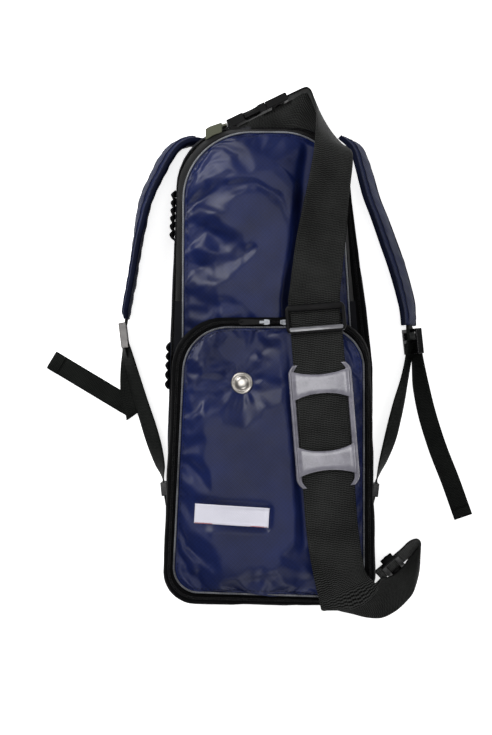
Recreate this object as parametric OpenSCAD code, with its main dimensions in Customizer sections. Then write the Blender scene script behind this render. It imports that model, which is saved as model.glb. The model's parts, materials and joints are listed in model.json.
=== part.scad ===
// Oxygen cylinder carry bag: a soft backpack for a small cylinder, with a sling and two shoulder straps.
// It lies on its back. Origin at the centre of the back face, +X to the bag's own left shoulder side,
// +Y to the top, +Z out of the front. Millimetres.

/* [Bag] */
// Thickness of the padded back panel
back_t = 10; // [8:0.5:12]
// Height of the zip seam above the back face
seam_z = 66; // [60:1:70]
// Height of the underside of the front wall
front_z = 119; // [112:1:122]
// Wall thickness of the padded gussets
wall = 3; // [2:0.5:3.5]
// Thickness of the front wall and the top flap
panel_t = 3; // [2:0.5:3.5]

/* [Pocket] */
// Depth of the pocket gusset
pocket_d = 18; // [17:0.5:20]
// Thickness of the pocket's front panel
pocket_t = 3; // [2:0.5:3.5]
// Height of the piping above the panel
pipe_h = 3.4; // [2.5:0.1:3.6]
// Width of the piping
pipe_w = 3.4; // [2.6:0.1:3.6]

/* [Sling] */
// Width of the sling webbing
sling_w = 50; // [46:1:50]
// Thickness of the sling webbing
sling_t = 2.2; // [1.6:0.1:2.4]
// Length of the shoulder pad on the sling
pad_len = 119; // [100:1:125]
// Play between the webbing and the parts that slide on it
play = 0.3; // [0.2:0.05:0.4]

/* [Shoulder straps] */
// Height of the padded strap, which stands on its edge
strap_w = 45; // [40:1:46]
// Width of the narrow webbing
web_w = 20; // [18:1:21]
// Thickness of the narrow webbing
web_t = 1.6; // [1.2:0.1:1.8]

/* [Snap] */
// Radius of the snap's cap
cap_r = 10.5; // [9:0.1:10.5]

/* [Hidden] */
$fn = 32;

navy = "#1c2448";
black = "#141416";
silver = "#8f9296";
chrome = "#c9ced2";
grey = "#b9b8bf";
white = "#e4e4ea";

// Outlines, counter-clockwise, each corner as [x, y, fillet radius]
B = [[-106, -236, 30], [104, -236, 30], [104, 0, 120], [74, 238, 58], [-92, 238, 62], [-101, 0, 200]];
G = [[-104, -235, 30], [102, -235, 30], [88, 0, 120], [68, 232, 58], [-90, 232, 62], [-95, 0, 200]];
Z = [[-105, -236, 30], [103, -236, 30], [96.5, 0, 120], [70, 235, 57], [-90.5, 235, 61], [-98, 0, 200]];
F = [[-94, -224, 30], [90, -226, 30], [80, 0, 120], [66, 226, 58], [-85, 226, 66], [-86, 0, 200]];
P = [[-95, -221, 24], [90, -227, 24], [90, 35, 40], [-83, 35, 44]];
ZQ = [[-100, -227, 27], [96.5, -231.5, 27], [93, 39.5, 43], [-88.5, 40, 48]];
PO = [[-105, -233, 30], [103, -236, 30], [95.5, 44, 46], [-94, 45, 52]];

// The flap's fold line across the front, and the pocket flap's diagonal fold
hinge_y = 61.5;
fold_p = [6, 42];
fold_d = [-0.3286, -0.9445];
// Lowest point of the main zip's straight side
zip_low = 8;

pz0 = front_z + panel_t;        // pocket gusset starts
pz1 = pz0 + pocket_d;           // pocket front panel starts
pz2 = pz1 + pocket_t;           // its outer face
sling_z = 153;                  // mid height of the sling over the pocket

function unit(v) = v / norm(v);
function cross2(a, b) = a[0]*b[1] - a[1]*b[0];
function in_corner(Q, i, d) =
  let(n = len(Q), a = Q[(i + n - 1) % n], b = Q[i], c = Q[(i + 1) % n],
      A = [a[0], a[1]], M = [b[0], b[1]], C = [c[0], c[1]],
      u = unit(M - A), v = unit(C - M), nu = [-u[1], u[0]], nv = [-v[1], v[0]],
      cr = cross2(u, v))
  abs(cr) < 0.001 ? M + nu*d : M + nu*d + u*(cross2((nv - nu)*d, v)/cr);
// The outline as points, moved inwards by d, with k steps to a fillet
function outline(Q, d = 0, k = 7) = [
  for (i = [0:len(Q) - 1])
    let(n = len(Q), q = in_corner(Q, i, d),
        a = in_corner(Q, (i + n - 1) % n, d), c = in_corner(Q, (i + 1) % n, d),
        u = unit(q - a), v = unit(c - q), turn = acos(min(1, max(-1, u*v))),
        r = max(Q[i][2] - d, 0.6), nu = [-u[1], u[0]],
        s = q - u*(r*tan(turn/2)), o = s + nu*r,
        m = turn > 20 ? k : 3)
      for (j = [0:m])
        let(t = turn*j/m) o + r*(sin(t)*u - cos(t)*nu)
];
module form(Q, d = 0) { polygon(outline(Q, d)); }
module band(Q, d0, Q2, d1) { difference() { form(Q, d0); form(Q2, d1); } }
module slab(z0, z1) { translate([0, 0, z0]) linear_extrude(height = z1 - z0) children(); }
module above(y) { intersection() { children(); translate([-400, y]) square([800, 600]); } }
module below(y) { intersection() { children(); translate([-400, y - 900]) square([800, 900]); } }
module between_y(y0, y1) { intersection() { children(); translate([-400, y0]) square([800, y1 - y0]); } }
// Half plane beyond the diagonal fold: gap on the side named by side (1 = flap, -1 = fixed)
module fold_side(side, gap) {
  a = atan2(fold_d[1], fold_d[0]);
  intersection() {
    children();
    translate(fold_p) rotate(a) translate([-600, side > 0 ? -900 - gap : gap]) square([1200, 900]);
  }
}

// A flat strip swept through stations, each [left edge, right edge], t thick
function mid(s) = (s[0] + s[1])/2;
function strip_dir(S, i) = unit(mid(S[min(i + 1, len(S) - 1)]) - mid(S[max(i - 1, 0)]));
function strip_nrm(S, i) = unit(cross(S[i][1] - S[i][0], strip_dir(S, i)));
module strip(S, t) {
  n = len(S);
  pts = [for (i = [0:n - 1]) let(h = strip_nrm(S, i)*t/2)
    each [S[i][0] - h, S[i][1] - h, S[i][1] + h, S[i][0] + h]];
  // both faces are split along the same diagonal, so a twisted strip keeps its thickness
  side = [for (i = [0:n - 2]) for (j = [0:3])
    let(a = 4*i + j, b = 4*i + (j + 1) % 4, c = b + 4, d = a + 4)
    each (j == 2 ? [[a, b, d], [b, c, d]] : [[a, b, c], [a, c, d]])];
  ends = [[0, 3, 2], [0, 2, 1],
          [4*n - 4, 4*n - 3, 4*n - 2], [4*n - 4, 4*n - 2, 4*n - 1]];
  polyhedron(points = pts, faces = concat(ends, side));
}
// Stations written as [centre, width direction], w wide
function stations(C, w) = [for (c = C) [c[0] - unit(c[1])*w/2, c[0] + unit(c[1])*w/2]];

// ---- bag ----
module back_panel() { color(black) slab(0, back_t) form(B); }
module stiffener_board() { color("#5a5a5a") slab(back_t, back_t + 1.5) form(B, 8); }
module liner() {
  color("#202024") {
    slab(back_t + 1.5, back_t + 2.5) form(B, wall + 0.3);
    slab(back_t + 2.5, seam_z - 6) band(B, wall + 0.3, B, wall + 1.5);
  }
}
module base_pad() {
  color("#2a2a2e") difference() {
    translate([-72, -231.2, 13]) cube([142, 9.5, 100]);
    translate([-1, -227.7, 112]) rotate([90, 0, 0]) cylinder(h = 30, r = 12, center = true);
  }
}
module cylinder_strap() {
  color(black) translate([0, 6, back_t + 2.6]) rotate([90, 0, 0]) linear_extrude(height = 25)
    polygon([[-90, 0], [-60, 0], [-40, 5.5], [40, 5.5], [60, 0], [90, 0],
             [90, 1.8], [60.6, 1.8], [40.5, 7.3], [-40.5, 7.3], [-60.6, 1.8], [-90, 1.8]]);
}
module rear_gusset() { color(black) slab(back_t, seam_z) band(B, 0, B, wall); }
module main_zip_rear() {
  color("#0d0d0f") {
    slab(seam_z, seam_z + 1.5) above(zip_low + 0.3) band(B, 0, Z, -0.15);
    slab(seam_z + 1.5, seam_z + 2.6) above(zip_low + 0.3) band(Z, -1.4, Z, -0.15);
  }
}
module main_zip_lower() {
  color("#0d0d0f") {
    slab(seam_z, seam_z + 1.5) between_y(zip_low + 0.3, hinge_y - 0.5) band(Z, 0.15, G, wall);
    slab(seam_z + 1.5, seam_z + 2.6) between_y(zip_low + 0.3, hinge_y - 0.5) band(Z, 0.15, Z, 1.4);
  }
}
module lower_gusset() {
  color(black) {
    slab(seam_z, seam_z + 1.5) below(zip_low) band(B, 0, G, wall);
    slab(seam_z + 1.5, front_z) below(hinge_y - 0.5) band(G, 0, G, wall);
  }
}
module front_wall() { color(navy) slab(front_z, pz0) below(hinge_y - 0.5) form(G); }
module front_piping() { color(silver) slab(pz0, pz0 + pipe_h) between_y(46, hinge_y - 0.5) band(F, -pipe_w/2, F, pipe_w/2); }

// ---- pocket ----
module pocket_gusset() { color(black) slab(pz0, pz1) band(PO, 0, PO, 3); }
module pocket_zip_outer() {
  color("#0d0d0f") {
    slab(pz1, pz1 + 1.4) band(PO, 0, ZQ, -0.15);
    slab(pz1 + 1.4, pz1 + 2.6) band(ZQ, -1.4, ZQ, -0.15);
  }
}
module pocket_inner_tape() {
  slab(pz1, pz1 + 1.4) band(ZQ, 0.15, P, -0.15);
  slab(pz1 + 1.4, pz1 + 2.6) band(ZQ, 0.15, ZQ, 1.4);
}
module halves(side, gap) { intersection() { children(); slab(100, 200) fold_side(side, gap) square(900, center = true); } }
module pocket_zip_inner() { color("#0d0d0f") halves(-1, 0.4) pocket_inner_tape(); }
module pocket_panel() { color(navy) slab(pz1, pz2) fold_side(-1, 0.4) form(P); }
module pocket_piping() { color("#55575c") slab(pz2, pz2 + pipe_h) fold_side(-1, 5) band(P, -0.1, P, pipe_w); }
module pocket_divider() { color("#20202a") slab(133, 134.5) above(-70) form(PO, 3.2); }
module snap_stud() {
  color(chrome) translate([-28, -19, 134.5]) {
    cylinder(h = 1.2, r = 6);
    cylinder(h = 4.2, r = 3.9);
  }
}
module label() {
  color(white) slab(pz2, pz2 + 0.8) fold_side(-1, 0.6)
    translate([-37.7, -147]) rotate(-3.6) square([72, 19], center = true);
}
module side_elastic() {
  color(black) difference() {
    union() {
    for (i = [0:5]) translate([-101, 127.5 + 8.4*i, 20]) cube([5.6 - 0.06*i, 5, 42]);
    translate([-97.4, 126, 30]) cube([2.2, 49, 22]);
    for (i = [0:4]) translate([-105.3, -25 + 9.4*i, 20]) cube([4.4, 5.4, 42]);
    translate([-103.6, -25, 30]) cube([2.6, 43, 22]);
    }
    slab(5, 70) form(B, -0.05);
  }
}

// ---- sling ----
sl_dir = unit([59.3 - 41.65, -161.5 - 60.9]);
sl_side = [-sl_dir[1], sl_dir[0], 0];
function sl_at(y) = let(t = (60.9 - y)/(60.9 + 161.5)) [41.65 + 17.65*t, y, sling_z];
lower_stations = concat(
  stations([[sl_at(60.9), sl_side], [sl_at(-161.5), sl_side]], sling_w),
  [
    [[39.7, -198, 152.8], [89.5, -194, 152.8]],
    [[45.5, -224, 152.4], [93.5, -206, 152.4]],
    [[50.8, -239, 148.4], [98.8, -221, 148.4]],
    [[54.8, -249.2, 139], [104.6, -230.6, 139]],
    [[55, -249.6, 126], [105, -230.9, 126]],
    [[56, -249.8, 104], [106, -231.1, 104]],
    [[60, -249.8, 66], [108, -231.6, 74]],
    [[70, -253.5, 27], [111.6, -221, 50]],
    [[86, -258, 11], [115.5, -218.5, 30]],
    [[101, -262.3, 5], [122, -218.8, 22]],
    [[116, -263, 2.6], [129.5, -215.9, 18]],
    [[130, -256.5, 2.4], [138, -207.6, 18]],
    [[141, -247, 2.4], [143.6, -199.4, 19]],
    [[149, -237, 2.4], [148.6, -192.5, 24]],
    [[153.5, -222, 2.4], [152.5, -186.5, 33]],
    [[155.4, -207, 2.4], [153, -181, 42]],
    [[155, -197.5, 3.2], [148.5, -177.5, 49.5]],
    [[150.8, -196, 5], [141, -180, 53]],
    [[143.9, -200.6, 6.5], [133, -187.5, 53.5]],
    [[116.6, -223.5, 6.5], [105.7, -210.4, 53.5]]
  ]);
module sling_webbing_lower() { color(black) strip(lower_stations, sling_t); }
sling_upper_c = [
  [[41.45, 62.1, 152.9], [0.9969, 0.0793, 0]],
  [[43.5, 78, 147], [0.993, 0.12, 0]],
  [[46.5, 100, 134], [0.992, 0.125, 0]],
  [[50, 125, 128], [0.992, 0.127, 0]],
  [[53.5, 152, 127.6], [0.992, 0.127, 0]],
  [[57, 180, 128.4], [0.992, 0.127, 0]],
  [[60, 203, 129], [0.985, -0.1, -0.06]],
  [[62.5, 224, 127], [0.93, -0.27, -0.2]],
  [[65.5, 241, 108], [0.62, -0.42, -0.66]],
  [[57, 248, 78], [0.25, -0.2, -0.95]],
  [[50, 258, 54], [0.08, -0.06, -0.99]],
  [[44, 269, 38], [0, 0, -1]],
  [[41, 276, 32.5], [0, 0, -1]],
  [[37.6, 278.9, 31], [0, 0, -1]],
  [[33.6, 277.9, 31], [0, 0, -1]],
  [[12.4, 267.8, 31], [0, 0, -1]]
];
module sling_webbing_upper() { color(black) strip(stations(sling_upper_c, sling_w), sling_t); }
// Loose end of the sling, turned back under the buckle
module sling_tail() {
  color(black) slab(56, 58.2) polygon([[4, 240.7], [57, 240.7], [53.5, 246.5], [47.8, 255.5], [43.6, 262], [39.8, 269], [34, 270.8], [26.5, 267.6], [-18, 246.4], [-14, 242.4]]);
}
// A three-bar slide that the webbing runs straight through
module tri_glide(len_y = 28) {
  h = sling_t/2 + play;
  for (s = [-1, 1]) {
    translate([s > 0 ? 25.5 : -29, -len_y/2, -h - 3.2]) cube([3.5, len_y, 2*h + 6.2]);
    translate([-29, s > 0 ? len_y/2 - 4.6 : -len_y/2, h]) cube([58, 4.6, 3]);
  }
  translate([-29, -3.2, -h - 3.2]) cube([58, 6.4, 3.2]);
}
sl_ang = atan2(sl_side[1], sl_side[0]);
module sling_adjuster() { color("#1a1a1c") translate(sl_at(43.6)) rotate(sl_ang) tri_glide(); }
module sling_pad() {
  h = sling_t/2 + play;
  color(grey) translate(sl_at(-59.6)) rotate(sl_ang) {
    // plate under the webbing
    translate([0, 0, -h - 3]) linear_extrude(height = 3) difference() {
      offset_box(60.6, pad_len, 9);
      offset_box(38, 42, 8);
    }
    // rails at both sides
    for (s = [-1, 1]) translate([s > 0 ? 25.6 : -30.3, -pad_len/2 + 8, -h - 3]) cube([4.7, pad_len - 16, 2*h + 6]);
    // two cross bands over the webbing
    for (s = [-1, 1]) translate([-30.3, s > 0 ? pad_len/2 - 36 : -pad_len/2 + 8, h]) cube([60.6, 28, 2.6]);
  }
}
module offset_box(w, l, r) { form([[-w/2, -l/2, r], [w/2, -l/2, r], [w/2, l/2, r], [-w/2, l/2, r]]); }
module sling_lower_slide() {
  color("#1a1a1c") translate([124.85, -205.3, 30.1]) rotate([0, 0, 40.03]) rotate([90, 0, 0]) rotate([0, 0, 90])
    rotate([0, 19.93, 0]) tri_glide(20.8);
}
module sling_lower_anchor() {
  color(black) slab(3, 62) intersection() {
    band(B, -1.3, B, 0);
    translate([90, -214]) square([40, 24]);
  }
}
// buckle frame: x along the sling, y up, z across
module at_buckle() { translate([-6, 259, 31]) rotate([0, 0, 25.5]) rotate([90, 0, 0]) children(); }
module sling_buckle_female() {
  color("#151517") at_buckle() difference() {
    translate([-40, -28, -4.2]) cube([42, 56, 8.4]);
    translate([-26, -24, -2.7]) cube([40, 48, 5.4]);
    translate([-37.4, -26, -7]) cube([4.6, 52, 14]);
    translate([-22, -30, -2.7]) cube([14, 60, 5.4]);
    for (s = [-1, 1]) translate([-14, s*26, -7]) cylinder(h = 14, r = 9);
  }
}
module sling_buckle_male() {
  h = sling_t/2 + play;
  color("#151517") at_buckle() {
    // arms and guide inside the socket
    for (s = [-1, 1]) translate([-22, s > 0 ? 16.5 : -22.5, -2.2]) cube([25.5, 6, 4.4]);
    translate([-24, -4, -2.2]) cube([27.5, 8, 4.4]);
    // body and the frame that the webbing runs through
    translate([2.5, -28, -4]) cube([5, 56, 8]);
    for (s = [-1, 1]) translate([7.4, s > 0 ? 25.5 : -28, -4]) cube([18.6, 2.5, 8]);
    translate([21.6, -28, h]) cube([4.4, 56, 2.6]);
    translate([13, -28, -h - 2.6]) cube([4.4, 56, 2.6]);
  }
}
module sling_upper_anchor() {
  color(black) {
    strip(stations([[[-43.6, 241.7, 31], [0, 0, 1]], [[-47.5, 240.8, 31], [0, 0, 1]], [[-52.5, 238.4, 31], [0, 0, 1]]], 50), sling_t);
    slab(6, 100) intersection() { band(B, -2.6, B, -0.6); translate([-64, 200]) square([16, 60]); }
    slab(72, 100) intersection() { band(B, -0.7, G, 0); translate([-64, 200]) square([16, 60]); }
  }
}

// ---- flap ----
module flap_panel() { color(navy) slab(front_z, pz0) above(hinge_y + 0.5) form(G); }
module flap_band() { color(black) slab(seam_z + 1.5, front_z) above(hinge_y + 0.5) band(G, 0, G, wall); }
module flap_piping() { color(silver) slab(pz0, pz0 + pipe_h) above(hinge_y + 0.5) band(F, -pipe_w/2, F, pipe_w/2); }
module main_zip_flap() {
  color("#0d0d0f") {
    slab(seam_z, seam_z + 1.5) above(hinge_y + 0.5) band(Z, 0.15, G, wall);
    slab(seam_z + 1.5, seam_z + 2.6) above(hinge_y + 0.5) band(Z, 0.15, Z, 1.4);
  }
}

// ---- pocket flap ----
module pocket_flap_panel() { color(navy) slab(pz1, pz2) fold_side(1, 0.4) form(P); }
module pocket_flap_piping() { color("#55575c") slab(pz2, pz2 + pipe_h) fold_side(1, 5) band(P, -0.1, P, pipe_w); }
module pocket_zip_flap() { color("#0d0d0f") halves(1, 13) pocket_inner_tape(); }
module snap_cap() {
  color(chrome) translate([-28, -19, pz2]) rotate_extrude($fn = 64)
    polygon([[0, 0], [cap_r, 0], [cap_r, 1.2], [cap_r - 1, 2], [7.6, 2.3], [7.2, 1.5], [6, 1.5], [5.5, 2.6], [3.5, 3.4], [0, 3.8]]);
}
module snap_socket() {
  color(chrome) translate([-28, -19, pz1 - 2.6]) difference() {
    cylinder(h = 2.6, r = 9.6);
    translate([0, 0, -1]) cylinder(h = 5, r = 7.4);
  }
}

// ---- zip sliders: x along the zip, the coil under it, pull towards -x ----
module slider() {
  linear_extrude(height = 2.6) polygon([[-5, -1.6], [-3, -2.6], [2, -2.7], [5, -2], [5, 2], [2, 2.7], [-3, 2.6], [-5, 1.6]]);
  // the bail that the pull hangs on
  translate([-3.4, -0.9, 2.5]) cube([1.6, 1.8, 2.6]);
  translate([1.8, -0.9, 2.5]) cube([1.6, 1.8, 2.6]);
  translate([-3.4, -0.9, 4.3]) cube([6.8, 1.8, 1]);
}
// Pull with its eye around the bail's end, lying flat, l long
module pull(l) {
  translate([0, 0, 3.5]) difference() {
    linear_extrude(height = 1.3, center = true) polygon([[0.6, -2.6], [0.6, 2.6], [-6, 2.3], [-l, 3], [-l - 1.6, 1.4], [-l - 1.6, -1.4], [-l, -3], [-6, -2.3]]);
    translate([-3.9, -1.3, -2]) cube([4, 2.6, 4]);
    translate([-l + 1, 0, -2]) cylinder(h = 4, r = 1.2);
  }
}
module pull_at() { translate([-1.1, 0, 0]) children(); }
module at_pocket_left() { translate([-6, 40, pz1 + 2.8]) children(); }
module at_pocket_right() { translate([14, 39.85, pz1 + 2.8]) rotate([0, 0, 180]) children(); }
side_dir = unit([70 - 96.5, 235]);
module at_side() { translate([96.5, 0, seam_z + 2.8] + 14.5/side_dir[1]*[side_dir[0], side_dir[1], 0]) rotate([0, 0, atan2(side_dir[1], side_dir[0])]) children(); }
module at_top() { translate([-24, 235, seam_z + 2.8]) rotate([0, 0, 0]) children(); }
module pocket_slider_left() { color(chrome) at_pocket_left() slider(); }
module pocket_pull_left() { color("#18181a") at_pocket_left() pull_at() pull(22); }
module pocket_slider_right() {
  color(chrome) at_pocket_right() {
    slider();
  }
}
module main_slider_side() { color("#2a2a2c") at_side() slider(); }
module main_pull_side() { color("#18181a") at_side() pull_at() pull(17); }
module main_slider_top() { color("#2a2a2c") at_top() slider(); }
module main_pull_top() { color("#18181a") at_top() pull_at() pull(17); }

// ---- shoulder straps ----
swing_l = -112;
swing_r = 112;
pad_c_l = [[-105.5, 210.5], [-113, 196.5], [-122, 178], [-128, 161], [-131, 145], [-134.5, 125], [-137.5, 106], [-140.6, 86.5], [-143.7, 69], [-146, 55], [-146.3, 46]];
anchor_c_l = [[-71, 231.6], [-84, 228.5], [-96, 221.5], [-105.5, 210.5], [-113, 196.5], [-117, 188]];
pad_c_r = [[104.5, 171], [113, 149], [122, 124], [130, 101], [137, 77], [141, 60], [142, 49], [142.6, 39.5]];
anchor_c_r = [[77.5, 229.5], [88.5, 217.5], [96, 198], [104.5, 171], [113, 149], [118, 135]];
module outboard() { intersection() { children(); union() { translate([swing_l - 0.4 - 300, -400, -10]) cube([300, 800, 200]); translate([swing_r + 0.4, -400, -10]) cube([300, 800, 200]); } } }
module inboard() { intersection() { children(); translate([swing_l + 0.4, -400, -10]) cube([swing_r - swing_l - 0.8, 800, 200]); } }
// Strap as a thick strip on its edge; lean shifts the top edge sideways
function edge_st(C, z0, z1, lean) = [for (c = C) [[c[0] - lean/2, c[1], z0], [c[0] + lean/2, c[1], z1]]];
module strap_pad_left() { color(navy) outboard() strip(edge_st(pad_c_l, 2, 2 + strap_w, 3), 10.5); }
module shoulder_anchor_left() { color(navy) inboard() strip(edge_st(anchor_c_l, 2, 2 + strap_w, 3), 10.5); }
module strap_pad_right() { color(navy) outboard() strip(edge_st(pad_c_r, 2, 2 + strap_w, -8), 10.5); }
module shoulder_anchor_right() { color(navy) inboard() strip(edge_st(anchor_c_r, 2, 2 + strap_w, -8), 10.5); }
// Ladder lock: x along the strap, y across the webbing, z through it
module ladder_lock() {
  for (s = [-1, 1]) translate([-13, s > 0 ? 10.8 : -14, -3.6]) cube([26, 3.2, 7.2]);
  for (x = [-13, -1.8, 9.4]) translate([x, -14, x < -5 ? -3.6 : (x < 5 ? 0.4 : -3.6)]) cube([3.6, 28, x < -5 ? 7.2 : 3.2]);
}
module ladder_lock_left() { color(grey) translate([-149.4, 29, 15.5]) rotate([0, 0, -83]) rotate([90, 0, 0]) ladder_lock(); }
module ladder_lock_right() { color("#1a1a1c") translate([147.5, 22.8, 17]) rotate([0, 0, -84]) rotate([62, 0, 0]) ladder_lock(); }
web_l = [[-146.4, 13.5, 15], [-140.6, -9, 14.4], [-132.4, -37.5, 14], [-124.4, -63, 13.4], [-118.2, -84, 13.4], [-112.4, -105, 13.4], [-110.8, -112, 13.4]];
web_l2 = [[-118.2, -84, 13.4], [-112.4, -105, 13.4], [-109.6, -117, 13.4], [-108.8, -121.5, 13.4], [-107.4, -135.5, 13.4], [-105.6, -147, 13.4]];
web_r = [[143.6, 7.2, 14], [139.4, -15, 12], [134, -38, 11], [129, -59, 11], [123.8, -80, 11], [117, -101, 11], [112.2, -114, 11], [110.6, -119.5, 11]];
web_r2 = [[111, -118.5, 13.4], [109.7, -122.5, 13.4], [108.1, -136.5, 13.4], [106.6, -143, 13.4], [105.7, -149, 13.4]];
function lean_st(C, w, dx, dz) = [for (c = C) [c - [dx, 0, dz]*w/2, c + [dx, 0, dz]*w/2]];
// The same with its own lean at each station
function turn_st(C, w, k) = [for (i = [0:len(C) - 1]) let(z = sqrt(1 - k[i]*k[i])) [C[i] - [k[i], 0, z]*w/2, C[i] + [k[i], 0, z]*w/2]];
module strap_web_left() { color(black) outboard() strip(lean_st(web_l, web_w, 0.42, 0.9), web_t); }
module lower_anchor_left() { color(black) inboard() strip(turn_st(web_l2, web_w, [0.42, 0.42, 0.2, 0, 0, 0]), web_t); }
module strap_web_right() { color(black) outboard() strip(lean_st(web_r, web_w, -0.6, 0.8), web_t); }
module lower_anchor_right() { color(black) strip(turn_st(web_r2, web_w, [0, 0, 0, 0, 0]), web_t); }
// Three-bar slide on the narrow webbing near the bag
module small_slide() {
  h = web_t/2 + 0.3;
  for (s = [-1, 1]) {
    translate([-7, s > 0 ? 10.6 : -13, -h - 2]) cube([14, 2.4, 2*h + 4]);
    translate([s > 0 ? 4.4 : -7, -13, h]) cube([2.6, 26, 2]);
  }
  translate([-1.6, -13, -h - 2]) cube([3.2, 26, 2]);
}
module lower_slide_left() { color("#1a1a1c") translate([-108.1, -128.5, 13.4]) rotate([0, 0, -84.29]) rotate([90, 0, 0]) small_slide(); }
module lower_slide_right() { color("#1a1a1c") translate([108.9, -129.5, 13.4]) rotate([0, 0, -96.52]) rotate([90, 0, 0]) small_slide(); }
// Loose tails: flat on the ground, the left one folded back on itself
module strap_tail_left() {
  color(black) {
    slab(1.8, 3.7) polygon([[-152.6, 13.5], [-146, 14.5], [-134.5, -22], [-133, -49], [-147, -58.5], [-153.5, -33], [-154.5, -20]]);
    slab(0.3, 2.1) polygon([[-147, -58.5], [-133, -49], [-139, -36], [-149, -35]]);
    translate([-141, -46.5, 0.3]) rotate([0, 0, 149]) translate([-6, 0, 0]) {
      translate([0, -web_w/2, 0]) cube([95, web_w, 1.7]);
      translate([92, -web_w/2 - 0.3, 0]) cube([11, web_w + 0.6, 3.2]);
    }
  }
}
tail_r = [[155, 7.5, 13.8], [155.6, -2, 12.2], [158, -24, 8.6], [163.4, -53, 5], [174.5, -88, 4.2], [187.4, -121, 4], [200.5, -158.5, 3.8]];
module strap_tail_right() {
  color(black) strip([for (i = [0:6]) let(c = tail_r[i], k = [0.55, 0.66, 0.8, 0.93, 0.93, 0.93, 0.93][i], z = sqrt(1 - k*k))
    [c + [-k*0.94, -k*0.34, -z*0.8]*web_w/2*0.97, c + [k*0.94, k*0.34, z*0.8]*web_w/2*0.97]], web_t);
}

back_panel();
stiffener_board();
liner();
base_pad();
cylinder_strap();
rear_gusset();
main_zip_rear();
main_zip_lower();
lower_gusset();
front_wall();
front_piping();
pocket_gusset();
pocket_zip_outer();
pocket_zip_inner();
pocket_panel();
pocket_piping();
pocket_divider();
snap_stud();
label();
side_elastic();
sling_webbing_lower();
sling_lower_slide();
sling_lower_anchor();
shoulder_anchor_left();
shoulder_anchor_right();
lower_anchor_left();
lower_anchor_right();
lower_slide_left();
lower_slide_right();
flap_panel();
flap_band();
flap_piping();
main_zip_flap();
sling_webbing_upper();
sling_tail();
sling_buckle_female();
sling_upper_anchor();
sling_buckle_male();
sling_adjuster();
sling_pad();
pocket_flap_panel();
pocket_flap_piping();
pocket_zip_flap();
snap_cap();
snap_socket();
pocket_slider_left();
pocket_pull_left();
pocket_slider_right();
main_slider_side();
main_pull_side();
main_slider_top();
main_pull_top();
strap_pad_left();
ladder_lock_left();
strap_web_left();
strap_tail_left();
strap_pad_right();
ladder_lock_right();
strap_web_right();
strap_tail_right();
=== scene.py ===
import json
import math
import bpy
import bmesh
import numpy as np
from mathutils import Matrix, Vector, noise
from mathutils.bvhtree import BVHTree

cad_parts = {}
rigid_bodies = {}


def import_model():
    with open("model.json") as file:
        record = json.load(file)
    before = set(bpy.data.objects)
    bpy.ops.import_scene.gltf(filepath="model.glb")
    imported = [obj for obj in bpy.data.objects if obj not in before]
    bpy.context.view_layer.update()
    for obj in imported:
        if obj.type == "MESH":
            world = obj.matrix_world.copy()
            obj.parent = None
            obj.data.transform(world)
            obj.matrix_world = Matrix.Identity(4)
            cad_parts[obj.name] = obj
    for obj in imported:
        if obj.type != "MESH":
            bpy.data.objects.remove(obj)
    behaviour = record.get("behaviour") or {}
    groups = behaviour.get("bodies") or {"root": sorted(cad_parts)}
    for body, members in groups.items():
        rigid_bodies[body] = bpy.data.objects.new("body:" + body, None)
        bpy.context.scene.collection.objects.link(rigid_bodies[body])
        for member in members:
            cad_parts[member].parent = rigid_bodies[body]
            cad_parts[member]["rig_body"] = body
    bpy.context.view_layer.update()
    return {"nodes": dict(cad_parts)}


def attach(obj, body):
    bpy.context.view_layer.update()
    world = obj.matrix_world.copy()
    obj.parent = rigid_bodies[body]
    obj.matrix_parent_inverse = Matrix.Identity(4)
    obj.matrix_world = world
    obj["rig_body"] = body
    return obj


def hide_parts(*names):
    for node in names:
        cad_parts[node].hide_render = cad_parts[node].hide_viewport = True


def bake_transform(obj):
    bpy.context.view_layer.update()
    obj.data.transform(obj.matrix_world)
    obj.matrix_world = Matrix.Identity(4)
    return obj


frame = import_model()
NODES = frame["nodes"]
scene = bpy.context.scene
MM = 0.001

# ------------------------------------------------------------------ outlines
B = [(-106, -236, 30), (104, -236, 30), (104, 0, 120), (74, 238, 58), (-92, 238, 62), (-101, 0, 200)]
G = [(-104, -235, 30), (102, -235, 30), (88, 0, 120), (68, 232, 58), (-90, 232, 62), (-95, 0, 200)]
Z = [(-105, -236, 30), (103, -236, 30), (96.5, 0, 120), (70, 235, 57), (-90.5, 235, 61), (-98, 0, 200)]
F = [(-94, -224, 30), (90, -226, 30), (80, 0, 120), (66, 226, 58), (-85, 226, 66), (-86, 0, 200)]
P = [(-95, -221, 24), (90, -227, 24), (90, 35, 40), (-83, 35, 44)]
ZQ = [(-100, -227, 27), (96.5, -231.5, 27), (93, 39.5, 43), (-88.5, 40, 48)]
PO = [(-105, -233, 30), (103, -236, 30), (95.5, 44, 46), (-94, 45, 52)]
SIDES6 = (26, 40, 40, 12, 30, 40)
SIDES4 = (28, 36, 18, 36)


def smoothstep(a, b, x):
    t = np.clip((x - a) / (b - a), 0, 1)
    return t * t * (3 - 2 * t)


def unit(v):
    return v / max(np.linalg.norm(v), 1e-12)


def corners(Q, d):
    n = len(Q)
    out = []
    for i in range(n):
        a, b, c = (np.array(Q[(i + k) % n][:2], float) for k in (-1, 0, 1))
        u, v = unit(b - a), unit(c - b)
        nu, nv = np.array([-u[1], u[0]]), np.array([-v[1], v[0]])
        cr = u[0] * v[1] - u[1] * v[0]
        w = (nv - nu) * d
        out.append(b + nu * d + (u * ((w[0] * v[1] - w[1] * v[0]) / cr) if abs(cr) > 1e-3 else 0))
    return out


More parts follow.
